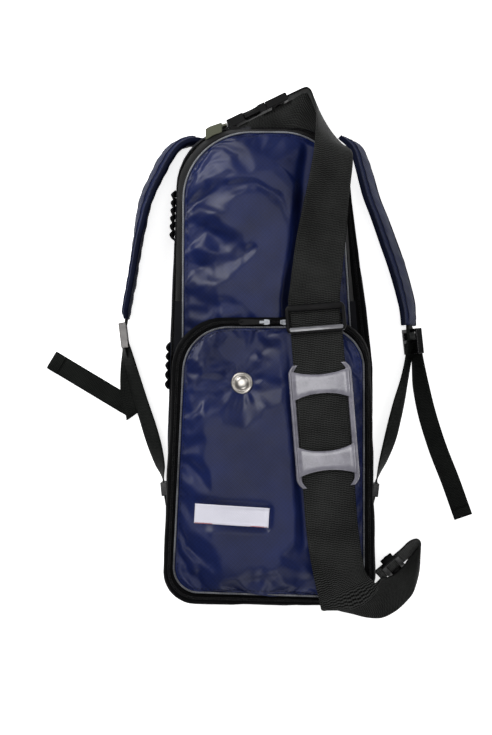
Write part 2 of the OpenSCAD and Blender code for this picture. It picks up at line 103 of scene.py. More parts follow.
def ring(Q, d=0.0, k=10):
    """The filleted outline moved inwards by d (mm), always with the same number of points for one kind of outline."""
    n = len(Q)
    q = corners(Q, d)
    sides = SIDES6 if n == 6 else SIDES4
    ends = []
    for i in range(n):
        a, b, c = q[i - 1], q[i], q[(i + 1) % n]
        u, v = unit(b - a), unit(c - b)
        turn = math.acos(max(-1, min(1, float(u @ v))))
        r = max(Q[i][2] - d, 0.6)
        nu = np.array([-u[1], u[0]])
        s = b - u * (r * math.tan(turn / 2))
        o = s + nu * r
        ends.append([o + r * (math.sin(t) * u - math.cos(t) * nu) for t in np.linspace(0, turn, k + 1)])
    pts = []
    for i in range(n):
        pts += ends[i]
        a, b = ends[i][-1], ends[(i + 1) % n][0]
        pts += [a + (b - a) * t for t in np.linspace(0, 1, sides[i] + 1)[1:-1]]
    return np.array(pts)


def at_z(pts, z):
    return np.column_stack([pts, np.full(len(pts), float(z))]) if np.ndim(z) == 0 else np.column_stack([pts, z])


def arc(pts, closed=False):
    p = np.vstack([pts, pts[:1]]) if closed else pts
    return np.concatenate([[0], np.cumsum(np.linalg.norm(np.diff(p, axis=0), axis=1))])


def resample(pts, step, closed=False):
    p = np.vstack([pts, pts[:1]]) if closed else np.asarray(pts, float)
    s = arc(p)
    n = max(int(round(s[-1] / step)), 2)
    t = np.linspace(0, s[-1], n + 1)
    if closed:
        t = t[:-1]
    return np.column_stack([np.interp(t, s, p[:, i]) for i in range(p.shape[1])])


def smooth_path(pts, step, tension=0.5):
    """Catmull-Rom through points of any width, with spacing near step (mm)."""
    p = np.asarray(pts, float)
    s = arc(p[:, :3])
    m = np.zeros_like(p)
    m[1:-1] = (p[2:] - p[:-2]) / (s[2:] - s[:-2])[:, None]
    m[0] = (p[1] - p[0]) / (s[1] - s[0])
    m[-1] = (p[-1] - p[-2]) / (s[-1] - s[-2])
    out = []
    for i in range(len(p) - 1):
        h = s[i + 1] - s[i]
        n = max(int(math.ceil(h / step)), 1)
        for j in range(n):
            t = j / n
            out.append((2*t**3 - 3*t**2 + 1) * p[i] + (t**3 - 2*t**2 + t) * h * m[i]
                       + (-2*t**3 + 3*t**2) * p[i + 1] + (t**3 - t**2) * h * m[i + 1])
    out.append(p[-1])
    return np.array(out)


def fbm(x, y, z=0.0, octaves=3):
    v, a = 0.0, 1.0
    for i in range(octaves):
        v += a * noise.noise(Vector((x, y, z)) * (2 ** i))
        a *= 0.5
    return v


# ------------------------------------------------------------------ meshes
def add_mesh(name, verts, faces, uv=None, mats=(), smooth=True, face_mat=None):
    me = bpy.data.meshes.new(name)
    me.from_pydata([tuple(v) for v in np.asarray(verts, float) * MM], [], [tuple(f) for f in faces])
    if uv is not None:
        layer = me.uv_layers.new(name="UVMap")
        layer.data.foreach_set("uv", np.asarray(uv, np.float32).ravel())
    for m in mats:
        me.materials.append(m)
    if face_mat is not None:
        me.polygons.foreach_set("material_index", np.asarray(face_mat, np.int32))
    me.polygons.foreach_set("use_smooth", np.full(len(me.polygons), smooth))
    me.update()
    me.validate()
    o = bpy.data.objects.new(name, me)
    scene.collection.objects.link(o)
    return o


def loft(name, rows, closed=True, mats=(), cap0=False, cap1=False, uvscale=1.0, smooth=True, flip=False):
    rows = [np.asarray(r, float) for r in rows]
    n, m = len(rows), len(rows[0])
    verts = np.vstack(rows)
    u = arc(rows[n // 2], closed)
    v = np.concatenate([[0], np.cumsum([np.linalg.norm(rows[i + 1] - rows[i], axis=1).mean() for i in range(n - 1)])])
    faces, uv = [], []
    for i in range(n - 1):
        for j in range(m if closed else m - 1):
            k = (j + 1) % m
            f = [i*m + j, i*m + k, (i + 1)*m + k, (i + 1)*m + j]
            t = [(u[j], v[i]), (u[j + 1], v[i]), (u[j + 1], v[i + 1]), (u[j], v[i + 1])]
            if flip:
                f, t = f[::-1], t[::-1]
            faces.append(f)
            uv += t
    for flag, base, rev in ((cap0, 0, not flip), (cap1, (n - 1)*m, flip)):
        if flag:
            f = [base + j for j in range(m)]
            f = f[::-1] if rev else f
            faces.append(f)
            uv += [(verts[q][0], verts[q][1]) for q in f]
    return add_mesh(name, verts, faces, np.array(uv) * MM, mats, smooth)


def tube(name, path, r, seg=10, closed=False, mats=(), step=None):
    p = np.asarray(path, float)
    n = len(p)
    d = np.roll(p, -1, 0) - np.roll(p, 1, 0)
    if not closed:
        d[0], d[-1] = p[1] - p[0], p[-1] - p[-2]
    rows = []
    for i in range(n):
        t = unit(d[i])
        a = unit(np.cross(t, [0, 0, 1]) if abs(t[2]) < 0.95 else np.cross(t, [0, 1, 0]))
        b = np.cross(t, a)
        rows.append([p[i] + r * (math.cos(q) * a + math.sin(q) * b) for q in np.linspace(0, 2*math.pi, seg, endpoint=False)])
    rows = np.array(rows)
    verts = rows.reshape(-1, 3)
    s = arc(p, closed)
    faces, uv = [], []
    for i in range(n if closed else n - 1):
        k = (i + 1) % n
        for j in range(seg):
            l = (j + 1) % seg
            faces.append([i*seg + j, k*seg + j, k*seg + l, i*seg + l])
            w = 2*math.pi*r/seg
            uv += [(s[i], j*w), (s[i + 1], j*w), (s[i + 1], (j + 1)*w), (s[i], (j + 1)*w)]
    if not closed:
        faces.append(list(range(seg)))
        uv += [(0, 0)] * seg
        faces.append([(n - 1)*seg + j for j in range(seg)][::-1])
        uv += [(0, 0)] * seg
    return add_mesh(name, verts, faces, np.array(uv) * MM, mats)


def ribbon(name, edges, t, mats=(), across=11, wave=0.0, edge_thin=0.55):
    """edges is n x 6 in mm: left edge and right edge. A woven strap with slightly rounded selvedges."""
    e = np.asarray(edges, float)
    L, R = e[:, :3], e[:, 3:]
    C = (L + R) / 2
    n = len(C)
    d = np.zeros_like(C)
    d[1:-1] = C[2:] - C[:-2]
    d[0], d[-1] = C[1] - C[0], C[-1] - C[-2]
    u = np.linspace(0, 1, across)
    prof = t/2 * np.where(np.minimum(u, 1 - u) < 0.02, edge_thin, 1.0)
    rows = []
    for i in range(n):
        w = R[i] - L[i]
        h = unit(np.cross(w, unit(d[i])))
        top = [L[i] + w*x - h*q for x, q in zip(u, prof)]
        bot = [L[i] + w*x + h*q for x, q in zip(u[::-1], prof[::-1])]
        rows.append(top + bot)
    m = 2 * across
    verts = np.array(rows).reshape(-1, 3)
    s = arc(C)
    wid = np.linalg.norm(R - L, axis=1)
    cu = np.concatenate([u, u[::-1]])
    faces, uv = [], []
    for i in range(n - 1):
        for j in range(m):
            k = (j + 1) % m
            faces.append([i*m + j, i*m + k, (i + 1)*m + k, (i + 1)*m + j])
            uv += [(s[i], (cu[j] - 0.5)*wid[0]), (s[i], (cu[k] - 0.5)*wid[0]), (s[i + 1], (cu[k] - 0.5)*wid[0]), (s[i + 1], (cu[j] - 0.5)*wid[0])]
    for base, rev in ((0, True), ((n - 1)*m, False)):
        for j in range(across - 1):
            f = [base + j, base + j + 1, base + m - 2 - j, base + m - 1 - j]
            faces.append(f[::-1] if rev else f)
            uv += [(0, 0)] * 4
    o = add_mesh(name, verts, faces, np.array(uv) * MM, mats)
    return o


def solidify(o, t, offset=-1.0, inner=None):
    m = o.modifiers.new("thick", "SOLIDIFY")
    m.thickness = t * MM
    m.offset = offset
    if inner is not None:
        m.material_offset = inner
        m.material_offset_rim = inner
    return apply_mods(o)


def apply_mods(o):
    dg = bpy.context.evaluated_depsgraph_get()
    dg.update()
    me = bpy.data.meshes.new_from_object(o.evaluated_get(dg), preserve_all_data_layers=True, depsgraph=dg)
    old = o.data
    o.modifiers.clear()
    o.data = me
    me.name = o.name
    if old.users == 0:
        bpy.data.meshes.remove(old)
    return o


def subdivide(o, levels=1):
    m = o.modifiers.new("sub", "SUBSURF")
    m.levels = m.render_levels = levels
    return apply_mods(o)


def softened(node, width=0.6, mat=None, name=None, segments=3, body=None, angle=28):
    """A CAD node's shape with rounded edges, as moulded plastic has."""
    src = NODES[node]
    me = src.data.copy()
    o = bpy.data.objects.new(name or node + "_moulded", me)
    scene.collection.objects.link(o)
    bm = bmesh.new()
    bm.from_mesh(me)
    bmesh.ops.remove_doubles(bm, verts=bm.verts, dist=1e-6)
    bmesh.ops.dissolve_limit(bm, angle_limit=math.radians(2), verts=bm.verts, edges=bm.edges)
    bm.to_mesh(me)
    bm.free()
    m = o.modifiers.new("bevel", "BEVEL")
    m.width = width * MM
    m.segments = segments
    m.limit_method = "ANGLE"
    m.angle_limit = math.radians(angle)
    m.use_clamp_overlap = True
    m.harden_normals = False
    apply_mods(o)
    o.data.materials.clear()
    o.data.materials.append(mat)
    for p in o.data.polygons:
        p.use_smooth = True
        p.material_index = 0
    wn = o.modifiers.new("wn", "WEIGHTED_NORMAL")
    wn.keep_sharp = False
    apply_mods(o)
    if body is None:
        body = src["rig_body"]
    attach(o, body)
    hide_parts(node)
    return o


# ------------------------------------------------------------------ materials
def srgb(r, g, b):
    f = lambda c: (c / 255 / 12.92) if c / 255 <= 0.04045 else ((c / 255 + 0.055) / 1.055) ** 2.4
    return (f(r), f(g), f(b), 1.0)


class Nodes:
    def __init__(self, name):
        self.m = bpy.data.materials.new(name)
        self.m.use_nodes = True
        self.t = self.m.node_tree
        self.n, self.l = self.t.nodes, self.t.links
        self.b = self.n["Principled BSDF"]

    def add(self, kind, **props):
        q = self.n.new(kind)
        for k, v in props.items():
            setattr(q, k, v)
        return q

    def link(self, a, b):
        self.l.new(a, b)

    def value(self, sock, v):
        sock.default_value = v

    def math(self, op, a, b=None, clamp=False):
        q = self.add("ShaderNodeMath", operation=op, use_clamp=clamp)
        for i, x in enumerate((a, b)):
            if x is None:
                continue
            if isinstance(x, (int, float)):
                q.inputs[i].default_value = x
            else:
                self.link(x, q.inputs[i])
        return q.outputs[0]

    def noise(self, vec, scale, detail=3, rough=0.5, out="Fac"):
        q = self.add("ShaderNodeTexNoise")
        q.inputs["Scale"].default_value = scale
        q.inputs["Detail"].default_value = detail
        q.inputs["Roughness"].default_value = rough
        self.link(vec, q.inputs["Vector"])
        return q.outputs[out]

    def ramp(self, fac, stops):
        q = self.add("ShaderNodeValToRGB")
        e = q.color_ramp.elements
        while len(e) < len(stops):
            e.new(0.5)
        for s, (pos, col) in zip(e, stops):
            s.position, s.color = pos, col
        self.link(fac, q.inputs["Fac"])
        return q.outputs["Color"]

    def bump(self, height, strength, dist, normal=None):
        q = self.add("ShaderNodeBump")
        q.inputs["Strength"].default_value = strength
        q.inputs["Distance"].default_value = dist
        self.link(height, q.inputs["Height"])
        if normal is not None:
            self.link(normal, q.inputs["Normal"])
        return q.outputs["Normal"]


def obj_coord(N):
    return N.add("ShaderNodeTexCoord").outputs["Object"]


def uv_coord(N):
    q = N.add("ShaderNodeUVMap")
    return q.outputs["UV"]


def split(N, vec):
    q = N.add("ShaderNodeSeparateXYZ")
    N.link(vec, q.inputs[0])
    return q.outputs


def weave_height(N, a, b, pitch):
    """Plain weave from two crossed waves; a and b are lengths in metres."""
    k = math.pi / pitch
    sa = N.math("SINE", N.math("MULTIPLY", a, k))
    sb = N.math("SINE", N.math("MULTIPLY", b, k))
    return N.math("MULTIPLY", sa, sb)


def nylon(name, dark, light, rough=0.42, sheen=0.25, coat=0.0, pitch=0.0011, bump=0.12, use_uv=False, spec=0.5, scale=18, grid=0.0):
    N = Nodes(name)
    o = obj_coord(N)
    xyz = split(N, uv_coord(N)) if use_uv else split(N, o)
    big = N.noise(o, scale, 4, 0.6)
    fine = N.noise(o, 900, 2, 0.5)
    fac = N.math("ADD", N.math("MULTIPLY", big, 0.75), N.math("MULTIPLY", fine, 0.25))
    if grid:
        # the coarser checks of the cloth, faint
        g = weave_height(N, xyz[0], xyz[1], 0.0022)
        fac = N.math("ADD", fac, N.math("MULTIPLY", g, grid))
    col = N.ramp(fac, [(0.30, dark), (0.72, light)])
    N.link(col, N.b.inputs["Base Color"])
    r = N.math("ADD", N.math("MULTIPLY", N.noise(o, 60, 3), 0.16), rough - 0.08)
    N.link(r, N.b.inputs["Roughness"])
    N.b.inputs["Specular IOR Level"].default_value = spec
    N.b.inputs["Sheen Weight"].default_value = sheen
    N.b.inputs["Sheen Roughness"].default_value = 0.4
    N.b.inputs["Sheen Tint"].default_value = light
    N.b.inputs["Coat Weight"].default_value = coat
    N.b.inputs["Coat Roughness"].default_value = 0.35
    w = weave_height(N, xyz[0], xyz[1], pitch)
    h = N.math("ADD", w, N.math("MULTIPLY", N.noise(o, 260, 3), 0.8))
    N.link(N.bump(h, bump, 0.0004), N.b.inputs["Normal"])
    return N.m


def webbing(name, dark, light, pitch=0.0019, col_w=0.0062, bump=0.6, rough=0.62, sheen=0.15, spec=0.3, dist=0.0005):
    """Ribbed webbing: cross ribs along u, offset from column to column, as heavy polypropylene tape has."""
    N = Nodes(name)
    uv = split(N, uv_coord(N))
    o = obj_coord(N)
    cols = N.math("MULTIPLY", uv[1], 1 / col_w)
    frac = N.math("FRACT", N.math("ADD", cols, 100.5))
    half = N.math("GREATER_THAN", frac, 0.5)
    phase = N.math("MULTIPLY", half, math.pi * 0.5)
    ribs = N.math("SINE", N.math("ADD", N.math("MULTIPLY", uv[0], 2 * math.pi / pitch), phase))
    edge = N.math("ABSOLUTE", N.math("SINE", N.math("MULTIPLY", cols, 2 * math.pi)))
    strand = N.math("SINE", N.math("MULTIPLY", uv[1], 2 * math.pi / 0.00155))
    h = N.math("ADD", N.math("MULTIPLY", ribs, N.math("ADD", N.math("MULTIPLY", edge, 0.6), 0.4)), N.math("MULTIPLY", strand, 0.35))
    h01 = N.math("ADD", N.math("MULTIPLY", h, 0.32), 0.5)
    mixf = N.math("ADD", N.math("MULTIPLY", h01, 0.7), N.math("MULTIPLY", N.noise(o, 35, 3), 0.3))
    N.link(N.ramp(mixf, [(0.34, dark), (0.70, light)]), N.b.inputs["Base Color"])
    N.link(N.math("ADD", N.math("MULTIPLY", N.noise(o, 400, 2), 0.2), rough - 0.1), N.b.inputs["Roughness"])
    N.b.inputs["Sheen Weight"].default_value = sheen
    N.b.inputs["Sheen Roughness"].default_value = 0.5
    N.b.inputs["Specular IOR Level"].default_value = spec
    N.link(N.bump(h01, bump, dist), N.b.inputs["Normal"])
    return N.m


def plastic(name, dark, light, rough=0.3, bump=0.05, coat=0.0, spec=0.5):
    N = Nodes(name)
    o = obj_coord(N)
    N.link(N.ramp(N.noise(o, 70, 4, 0.6), [(0.3, dark), (0.7, light)]), N.b.inputs["Base Color"])
    N.link(N.math("ADD", N.math("MULTIPLY", N.noise(o, 160, 4), 0.16), rough - 0.06), N.b.inputs["Roughness"])
    N.b.inputs["Coat Weight"].default_value = coat
    N.b.inputs["Coat Roughness"].default_value = 0.15
    N.b.inputs["Specular IOR Level"].default_value = spec
    N.link(N.bump(N.noise(o, 1400, 3), bump, 0.0002), N.b.inputs["Normal"])
    return N.m


def metal(name, col, rough=0.16):
    N = Nodes(name)
    o = obj_coord(N)
    N.b.inputs["Metallic"].default_value = 1.0
    dark = tuple(c * 0.82 for c in col[:3]) + (1,)
    N.link(N.ramp(N.noise(o, 120, 4), [(0.3, dark), (0.7, col)]), N.b.inputs["Base Color"])
    N.link(N.math("ADD", N.math("MULTIPLY", N.noise(o, 320, 3), 0.14), rough - 0.05), N.b.inputs["Roughness"])
    N.link(N.bump(N.noise(o, 900, 3), 0.04, 0.0002), N.b.inputs["Normal"])
    return N.m


def mesh_fabric(name, dark, light, pitch=0.0032):
    """Spacer mesh: a grid of small dimples."""
    N = Nodes(name)
    o = obj_coord(N)
    s = split(N, o)
    k = 2 * math.pi / pitch
    a = N.math("SINE", N.math("MULTIPLY", s[0], k))
    b = N.math("SINE", N.math("MULTIPLY", N.math("ADD", s[1], s[2]), k))
    h = N.math("ADD", N.math("MULTIPLY", N.math("MULTIPLY", a, b), 0.5), 0.5)
    N.link(N.ramp(h, [(0.25, dark), (0.8, light)]), N.b.inputs["Base Color"])
    N.link(N.math("ADD", N.math("MULTIPLY", N.noise(o, 300, 2), 0.1), 0.78), N.b.inputs["Roughness"])
    N.b.inputs["Sheen Weight"].default_value = 0.2
    N.link(N.bump(h, 0.7, 0.0008), N.b.inputs["Normal"])
    return N.m


def piping_mat(name, dark, light, rough=0.35, sheen=0.1):
    N = Nodes(name)
    o = obj_coord(N)
    uv = split(N, uv_coord(N))
    w = N.math("SINE", N.math("MULTIPLY", uv[0], 2 * math.pi / 0.0016))
    fac = N.math("ADD", N.math("MULTIPLY", N.noise(o, 45, 4, 0.6), 0.8), N.math("MULTIPLY", w, 0.08))
    N.link(N.ramp(fac, [(0.28, dark), (0.62, light)]), N.b.inputs["Base Color"])
    N.link(N.math("ADD", N.math("MULTIPLY", N.noise(o, 220, 2), 0.2), rough - 0.1), N.b.inputs["Roughness"])
    N.b.inputs["Sheen Weight"].default_value = sheen
    N.link(N.bump(w, 0.25, 0.0003), N.b.inputs["Normal"])
    return N.m


M = {
    "navy": nylon("navy_coated_nylon", srgb(8, 15, 46), srgb(18, 31, 80), rough=0.38, sheen=0.0, bump=0.14, spec=0.25, grid=0.07),
    "navy_rear": nylon("navy_gusset_nylon", srgb(8, 10, 20), srgb(13, 17, 32), rough=0.6, sheen=0.0, bump=0.2, spec=0.06),
    "strap_navy": nylon("strap_nylon", srgb(8, 15, 40), srgb(20, 30, 68), rough=0.62, sheen=0.0, pitch=0.0014, bump=0.35, spec=0.08, grid=0.12),
    "black_nylon": nylon("black_gusset_nylon", srgb(5, 5, 6), srgb(12, 12, 13), rough=0.7, sheen=0.0, bump=0.25, spec=0.04),
    "lining": nylon("lining_cloth", srgb(12, 13, 17), srgb(20, 21, 27), rough=0.7, sheen=0.0, bump=0.2, spec=0.1),
    "zip": nylon("zip_tape", srgb(4, 4, 5), srgb(9, 9, 10), rough=0.7, sheen=0.0, pitch=0.0009, bump=0.35, spec=0.04),
    "teeth": plastic("zip_coil", srgb(7, 7, 8), srgb(20, 20, 22), rough=0.35, spec=0.2),
    "webbing": webbing("black_webbing", srgb(0, 0, 0), srgb(56, 57, 56), pitch=0.0017, col_w=0.0065, bump=1.0, dist=0.0008, sheen=0.0, spec=0.05),
    "webbing_narrow": webbing("narrow_webbing", srgb(2, 3, 3), srgb(34, 36, 34), pitch=0.0016, col_w=0.005, bump=0.8, dist=0.0006, sheen=0.0, spec=0.05),
    "elastic": webbing("ruched_elastic", srgb(4, 4, 5), srgb(18, 18, 20), pitch=0.0014, col_w=0.004, bump=0.5, rough=0.7, sheen=0.0, spec=0.04),
    "piping": piping_mat("silver_piping", srgb(74, 76, 82), srgb(124, 127, 132), rough=0.32, sheen=0.03),
    "piping_dark": piping_mat("pocket_piping", srgb(40, 41, 47), srgb(112, 114, 120), rough=0.35, sheen=0.03),
    "binding": nylon("binding_tape", srgb(7, 10, 24), srgb(15, 21, 44), rough=0.65, sheen=0.0, pitch=0.001, bump=0.35, spec=0.06),
    "plastic": plastic("black_plastic", srgb(8, 8, 9), srgb(16, 16, 17), rough=0.24, coat=0.05, spec=0.3),
    "matt": plastic("matt_black_plastic", srgb(7, 7, 8), srgb(15, 15, 16), rough=0.45, spec=0.12),
    "grey": plastic("grey_plastic", srgb(100, 99, 108), srgb(128, 126, 136), rough=0.24, coat=0.35),
    # painted highlight: a lighter grey that stands in for the glossy highlight on the adjuster's black lower bar
    "grey_painted_highlight": plastic("bar_plastic_painted_highlight", srgb(84, 84, 88), srgb(116, 116, 121), rough=0.2, coat=0.35),
    # painted highlight: a mid grey that stands in for the highlights on the dark left ladder lock
    "lock_grey_painted_highlight": plastic("lock_plastic_painted_highlight", srgb(84, 80, 78), srgb(118, 113, 110), rough=0.3, coat=0.2),
    "olive": nylon("olive_tab", srgb(78, 80, 66), srgb(104, 106, 90), rough=0.6, sheen=0.0, pitch=0.001, bump=0.3, spec=0.1),
    "chrome": metal("chrome", srgb(160, 160, 160), 0.18),
    "snap_metal": metal("snap_metal", srgb(176, 172, 166), 0.3),
    "steel": metal("slider_steel", srgb(112, 114, 118), 0.3),
    "dark_metal": metal("dark_metal", srgb(44, 44, 47), 0.34),
    "label": nylon("label_cloth", srgb(203, 202, 213), srgb(220, 219, 229), rough=0.7, sheen=0.0, pitch=0.0008, bump=0.25, spec=0.2),
    "red": nylon("label_red", srgb(140, 40, 48), srgb(160, 56, 62), rough=0.7, sheen=0.0, pitch=0.0008, bump=0.2, spec=0.2),
    "mesh": mesh_fabric("spacer_mesh", srgb(6, 6, 7), srgb(22, 22, 24)),
    "foam": mesh_fabric("foam_cover", srgb(12, 12, 14), srgb(26, 26, 30), pitch=0.0045),
    "board": plastic("stiffener", srgb(56, 56, 58), srgb(74, 74, 76), rough=0.6, bump=0.3),
    "thread": nylon("thread", srgb(9, 11, 22), srgb(18, 22, 40), rough=0.6, sheen=0.0, pitch=0.0006, bump=0.3, spec=0.1),
    "thread_black": nylon("thread_black", srgb(16, 16, 18), srgb(30, 30, 32), rough=0.6, sheen=0.0, pitch=0.0006, bump=0.3, spec=0.1),
}
CAD_MATS = {
    "back_panel": "mesh", "stiffener_board": "board", "liner": "lining", "base_pad": "foam", "cylinder_strap": "webbing",
    "rear_gusset": "black_nylon", "main_zip_rear": "zip", "main_zip_lower": "zip", "main_zip_flap": "zip", "lower_gusset": "black_nylon",
    "front_wall": "lining", "front_piping": "piping", "pocket_gusset": "black_nylon", "pocket_zip_outer": "zip", "pocket_zip_inner": "zip",
    "pocket_panel": "navy", "pocket_piping": "piping_dark", "pocket_divider": "lining", "snap_stud": "chrome", "label": "label",
    "flap_panel": "navy", "flap_band": "black_nylon", "flap_piping": "piping", "snap_cap": "chrome", "snap_socket": "chrome",
}
for node, o in NODES.items():
    m = M[CAD_MATS.get(node, "black_nylon")]
    if o.material_slots:
        for s in o.material_slots:
            s.material = m
    else:
        o.data.materials.append(m)

FLAP_S, FLAP_E = (0, 0.047, 0), (0, 0.095, 0)


def blend_flap(o, *nodes, s=FLAP_S, e=FLAP_E):
    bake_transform(o)
    if nodes:
        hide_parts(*nodes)
    return o


def blend_pocket(o, *nodes):
    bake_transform(o)
    if nodes:
        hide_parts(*nodes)
    return o


# ------------------------------------------------------------------ camera, floor and lights
cam = bpy.data.objects.new("camera", bpy.data.cameras.new("camera"))
scene.collection.objects.link(cam)
cam.location = (-0.024, -0.004, 2.2)
cam.rotation_euler = (0, 0, 0)
cam.data.sensor_width = 36
cam.data.lens = 104.0
cam.data.clip_start, cam.data.clip_end = 0.05, 20
scene.camera = cam


def area(name, loc, target, size, power, color=(1, 1, 1)):
    l = bpy.data.lights.new(name, "AREA")
    l.shape = "RECTANGLE"
    l.size, l.size_y = size
    l.energy = power
    l.color = color
    o = bpy.data.objects.new(name, l)
    o.location = loc
    o.rotation_euler = (Vector(target) - Vector(loc)).to_track_quat("-Z", "Y").to_euler()
    scene.collection.objects.link(o)
    return o


area("key", (-0.95, 1.05, 1.15), (0, 0, 0.05), (0.8, 0.6), 24)
area("top", (1.5, 0.9, 1.7), (0, 0, 0), (1.0, 1.0), 10)
area("fill", (0.5, -1.6, 1.5), (0, 0, 0.05), (1.2, 0.9), 13)
area("flash", (-0.05, 0.12, 2.5), (-0.02, 0, 0), (0.9, 0.7), 13)
world = bpy.data.worlds.new("world")
scene.world = world
world.use_nodes = True
world.node_tree.nodes["Background"].inputs["Color"].default_value = (1, 1, 1, 1)
world.node_tree.nodes["Background"].inputs["Strength"].default_value = 0.14
scene.view_settings.view_transform = "Standard"

N = Nodes("floor")
o_ = obj_coord(N)
N.link(N.ramp(N.noise(o_, 3, 2), [(0.3, srgb(250, 250, 250)), (0.7, srgb(253, 253, 253))]), N.b.inputs["Base Color"])
N.b.inputs["Roughness"].default_value = 0.9
N.b.inputs["Specular IOR Level"].default_value = 0.1
N.b.inputs["Emission Color"].default_value = (1, 1, 1, 1)
N.b.inputs["Emission Strength"].default_value = 0.75
fl = bpy.data.meshes.new("floor")
fl.from_pydata([(-4, -4, 0), (4, -4, 0), (4, 4, 0), (-4, 4, 0)], [], [(0, 1, 2, 3)])
fl.materials.append(N.m)
floor = bpy.data.objects.new("floor", fl)
floor.location = (0, 0, -0.0004)
scene.collection.objects.link(floor)


# ------------------------------------------------------------------ rear of the bag
def bulge(rows, amp, seed, freq=0.018):
    """Soft unevenness on a wall, sideways in the plan."""
    out = []
    c = np.array([-4.0, 0.0])
    for r in rows:
        q = r.copy()
        for i in range(len(q)):
            n2 = unit(np.array([q[i][0] * 2.2, q[i][1] * 0.9]))
            f = fbm(q[i][0] * freq + seed, q[i][1] * freq, q[i][2] * freq * 1.6)
            q[i][:2] += n2 * f * amp
        out.append(q)
    return out


rear_rows = [at_z(ring(B, d), z) for d, z in ((9, 0.0), (3.5, 0.5), (1.2, 2.0), (0.2, 5.0), (0.3, 9.0), (1.4, 10.6), (0.8, 12.5), (0.0, 18), (-0.4, 26), (-0.6, 36), (-0.4, 46), (0.0, 56), (0.4, 62), (1.2, 65.4))]
rear_rows = rear_rows[:7] + bulge(rear_rows[7:13], 1.1, 3.1) + rear_rows[13:]
rear = loft("rear_gusset_cloth", rear_rows, mats=(M["navy_rear"], M["lining"]))
solidify(rear, 1.8, -1, 1)
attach(rear, "bag")
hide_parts("rear_gusset")

# back face: mesh pads with stitched channels, standing no lower than the floor
def back_mesh():
    rows = []
    pts = ring(B, 8.8)
    c = np.array([-4.0, 0.0])
    ks = [1.0, 0.97, 0.93, 0.86, 0.78, 0.7, 0.62, 0.54, 0.46, 0.38, 0.3, 0.22, 0.14, 0.06]
    for k in ks:
        q = (pts - c) * k + c
        z = np.zeros(len(q))
        for i, (x, y) in enumerate(q):
            ch = min(abs(abs(x + 4) - 34), 40)
            cy = min(abs(y - 95), abs(y + 10), abs(y + 115))
            d = min(ch, cy)
            z[i] = 0.05 + 2.0 * math.exp(-(d / 3.2) ** 2) + (0.5 if k > 0.98 else 0)
        rows.append(at_z(q, z))
    return loft("back_mesh_pads", rows, mats=(M["mesh"],), cap1=True, flip=True)


back = back_mesh()
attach(back, "bag")
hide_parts("back_panel")
inner_back = loft("back_panel_inner", [at_z(ring(B, 2.5), 10.0), at_z(ring(B, 8), 10.0), at_z((ring(B, 8) - [-4, 0]) * 0.5 + [-4, 0], 10.0), at_z((ring(B, 8) - [-4, 0]) * 0.05 + [-4, 0], 10.0)], mats=(M["foam"],), cap1=True)
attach(inner_back, "bag")

# ------------------------------------------------------------------ zips
def teeth(name, Q, d, z, pitch, keep, size=(0.95, 1.5, 1.1), body=None):
    """A row of coil turns along an outline; keep(x, y) picks the stretch."""
    p = resample(ring(Q, d, 14), pitch, True)
    n = len(p)
    t = np.roll(p, -1, 0) - np.roll(p, 1, 0)
    verts, faces = [], []
    a, b, c = size
    prof = [(-0.5, 0.0), (-0.5, 0.55), (-0.28, 0.95), (0.28, 0.95), (0.5, 0.55), (0.5, 0.0)]
    for i in range(n):
        if not keep(*p[i]):
            continue
        u = unit(t[i])
        w = np.array([-u[1], u[0]])
        base = len(verts)
        for s in (-0.5, 0.5):
            for (q, h) in prof:
                xy = p[i] + u * (q * a) + w * (s * b)
                verts.append((xy[0], xy[1], z + h * c))
        m = len(prof)
        for j in range(m - 1):
            faces.append((base + j, base + j + 1, base + m + j + 1, base + m + j))
        faces.append(tuple(base + j for j in range(m))[::-1])
        faces.append(tuple(base + m + j for j in range(m)))
    uv = None
    o = add_mesh(name, verts, faces, None, (M["teeth"],))
    return o


def tape(name, Q0, d0, Q1, d1, z, keep, t=0.7, lift=0.5, mat="zip"):
    """Woven zip tape between two outlines; keep(y) picks the rows of points."""
    a, b = ring(Q0, d0, 14), ring(Q1, d1, 14)
    idx = [i for i in range(len(a)) if keep(a[i][0], a[i][1])]
    runs, cur = [], []
    n = len(a)
    flag = [i in set(idx) for i in range(n)]
    if all(flag):
        rows = [at_z(a, z), at_z(a * 0.75 + b * 0.25, z + lift), at_z(a * 0.25 + b * 0.75, z + lift), at_z(b, z + 0.3)]
        o = loft(name, rows, mats=(M[mat],))
    else:
        start = next(i for i in range(n) if flag[i] and not flag[i - 1])
        order = [(start + k) % n for k in range(n)]
        seq = []
        for i in order:
            if not flag[i]:
                break
            seq.append(i)
        A, Bb = a[seq], b[seq]
        rows = [at_z(A, z), at_z(A * 0.75 + Bb * 0.25, z + lift), at_z(A * 0.25 + Bb * 0.75, z + lift), at_z(Bb, z + 0.3)]
        o = loft(name, rows, closed=False, mats=(M[mat],))
    solidify(o, t, -1)
    return o


SEAM = 66.0
up = lambda x, y: y > 8.5
tp = tape("main_zip_tape_rear", B, 1.0, Z, -0.2, SEAM - 0.6, lambda x, y: True, lift=1.4)
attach(tp, "bag")
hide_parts("main_zip_rear")
th = teeth("main_zip_coil_rear", Z, -0.75, SEAM + 0.6, 1.55, up)
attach(th, "bag")
tp2 = tape("main_zip_tape_front", Z, 0.2, G, 0.6, SEAM + 0.4, lambda x, y: True, lift=1.0)
blend_flap(tp2, "main_zip_lower", "main_zip_flap")
th2 = teeth("main_zip_coil_front", Z, 0.75, SEAM + 0.6, 1.55, up)
blend_flap(th2)

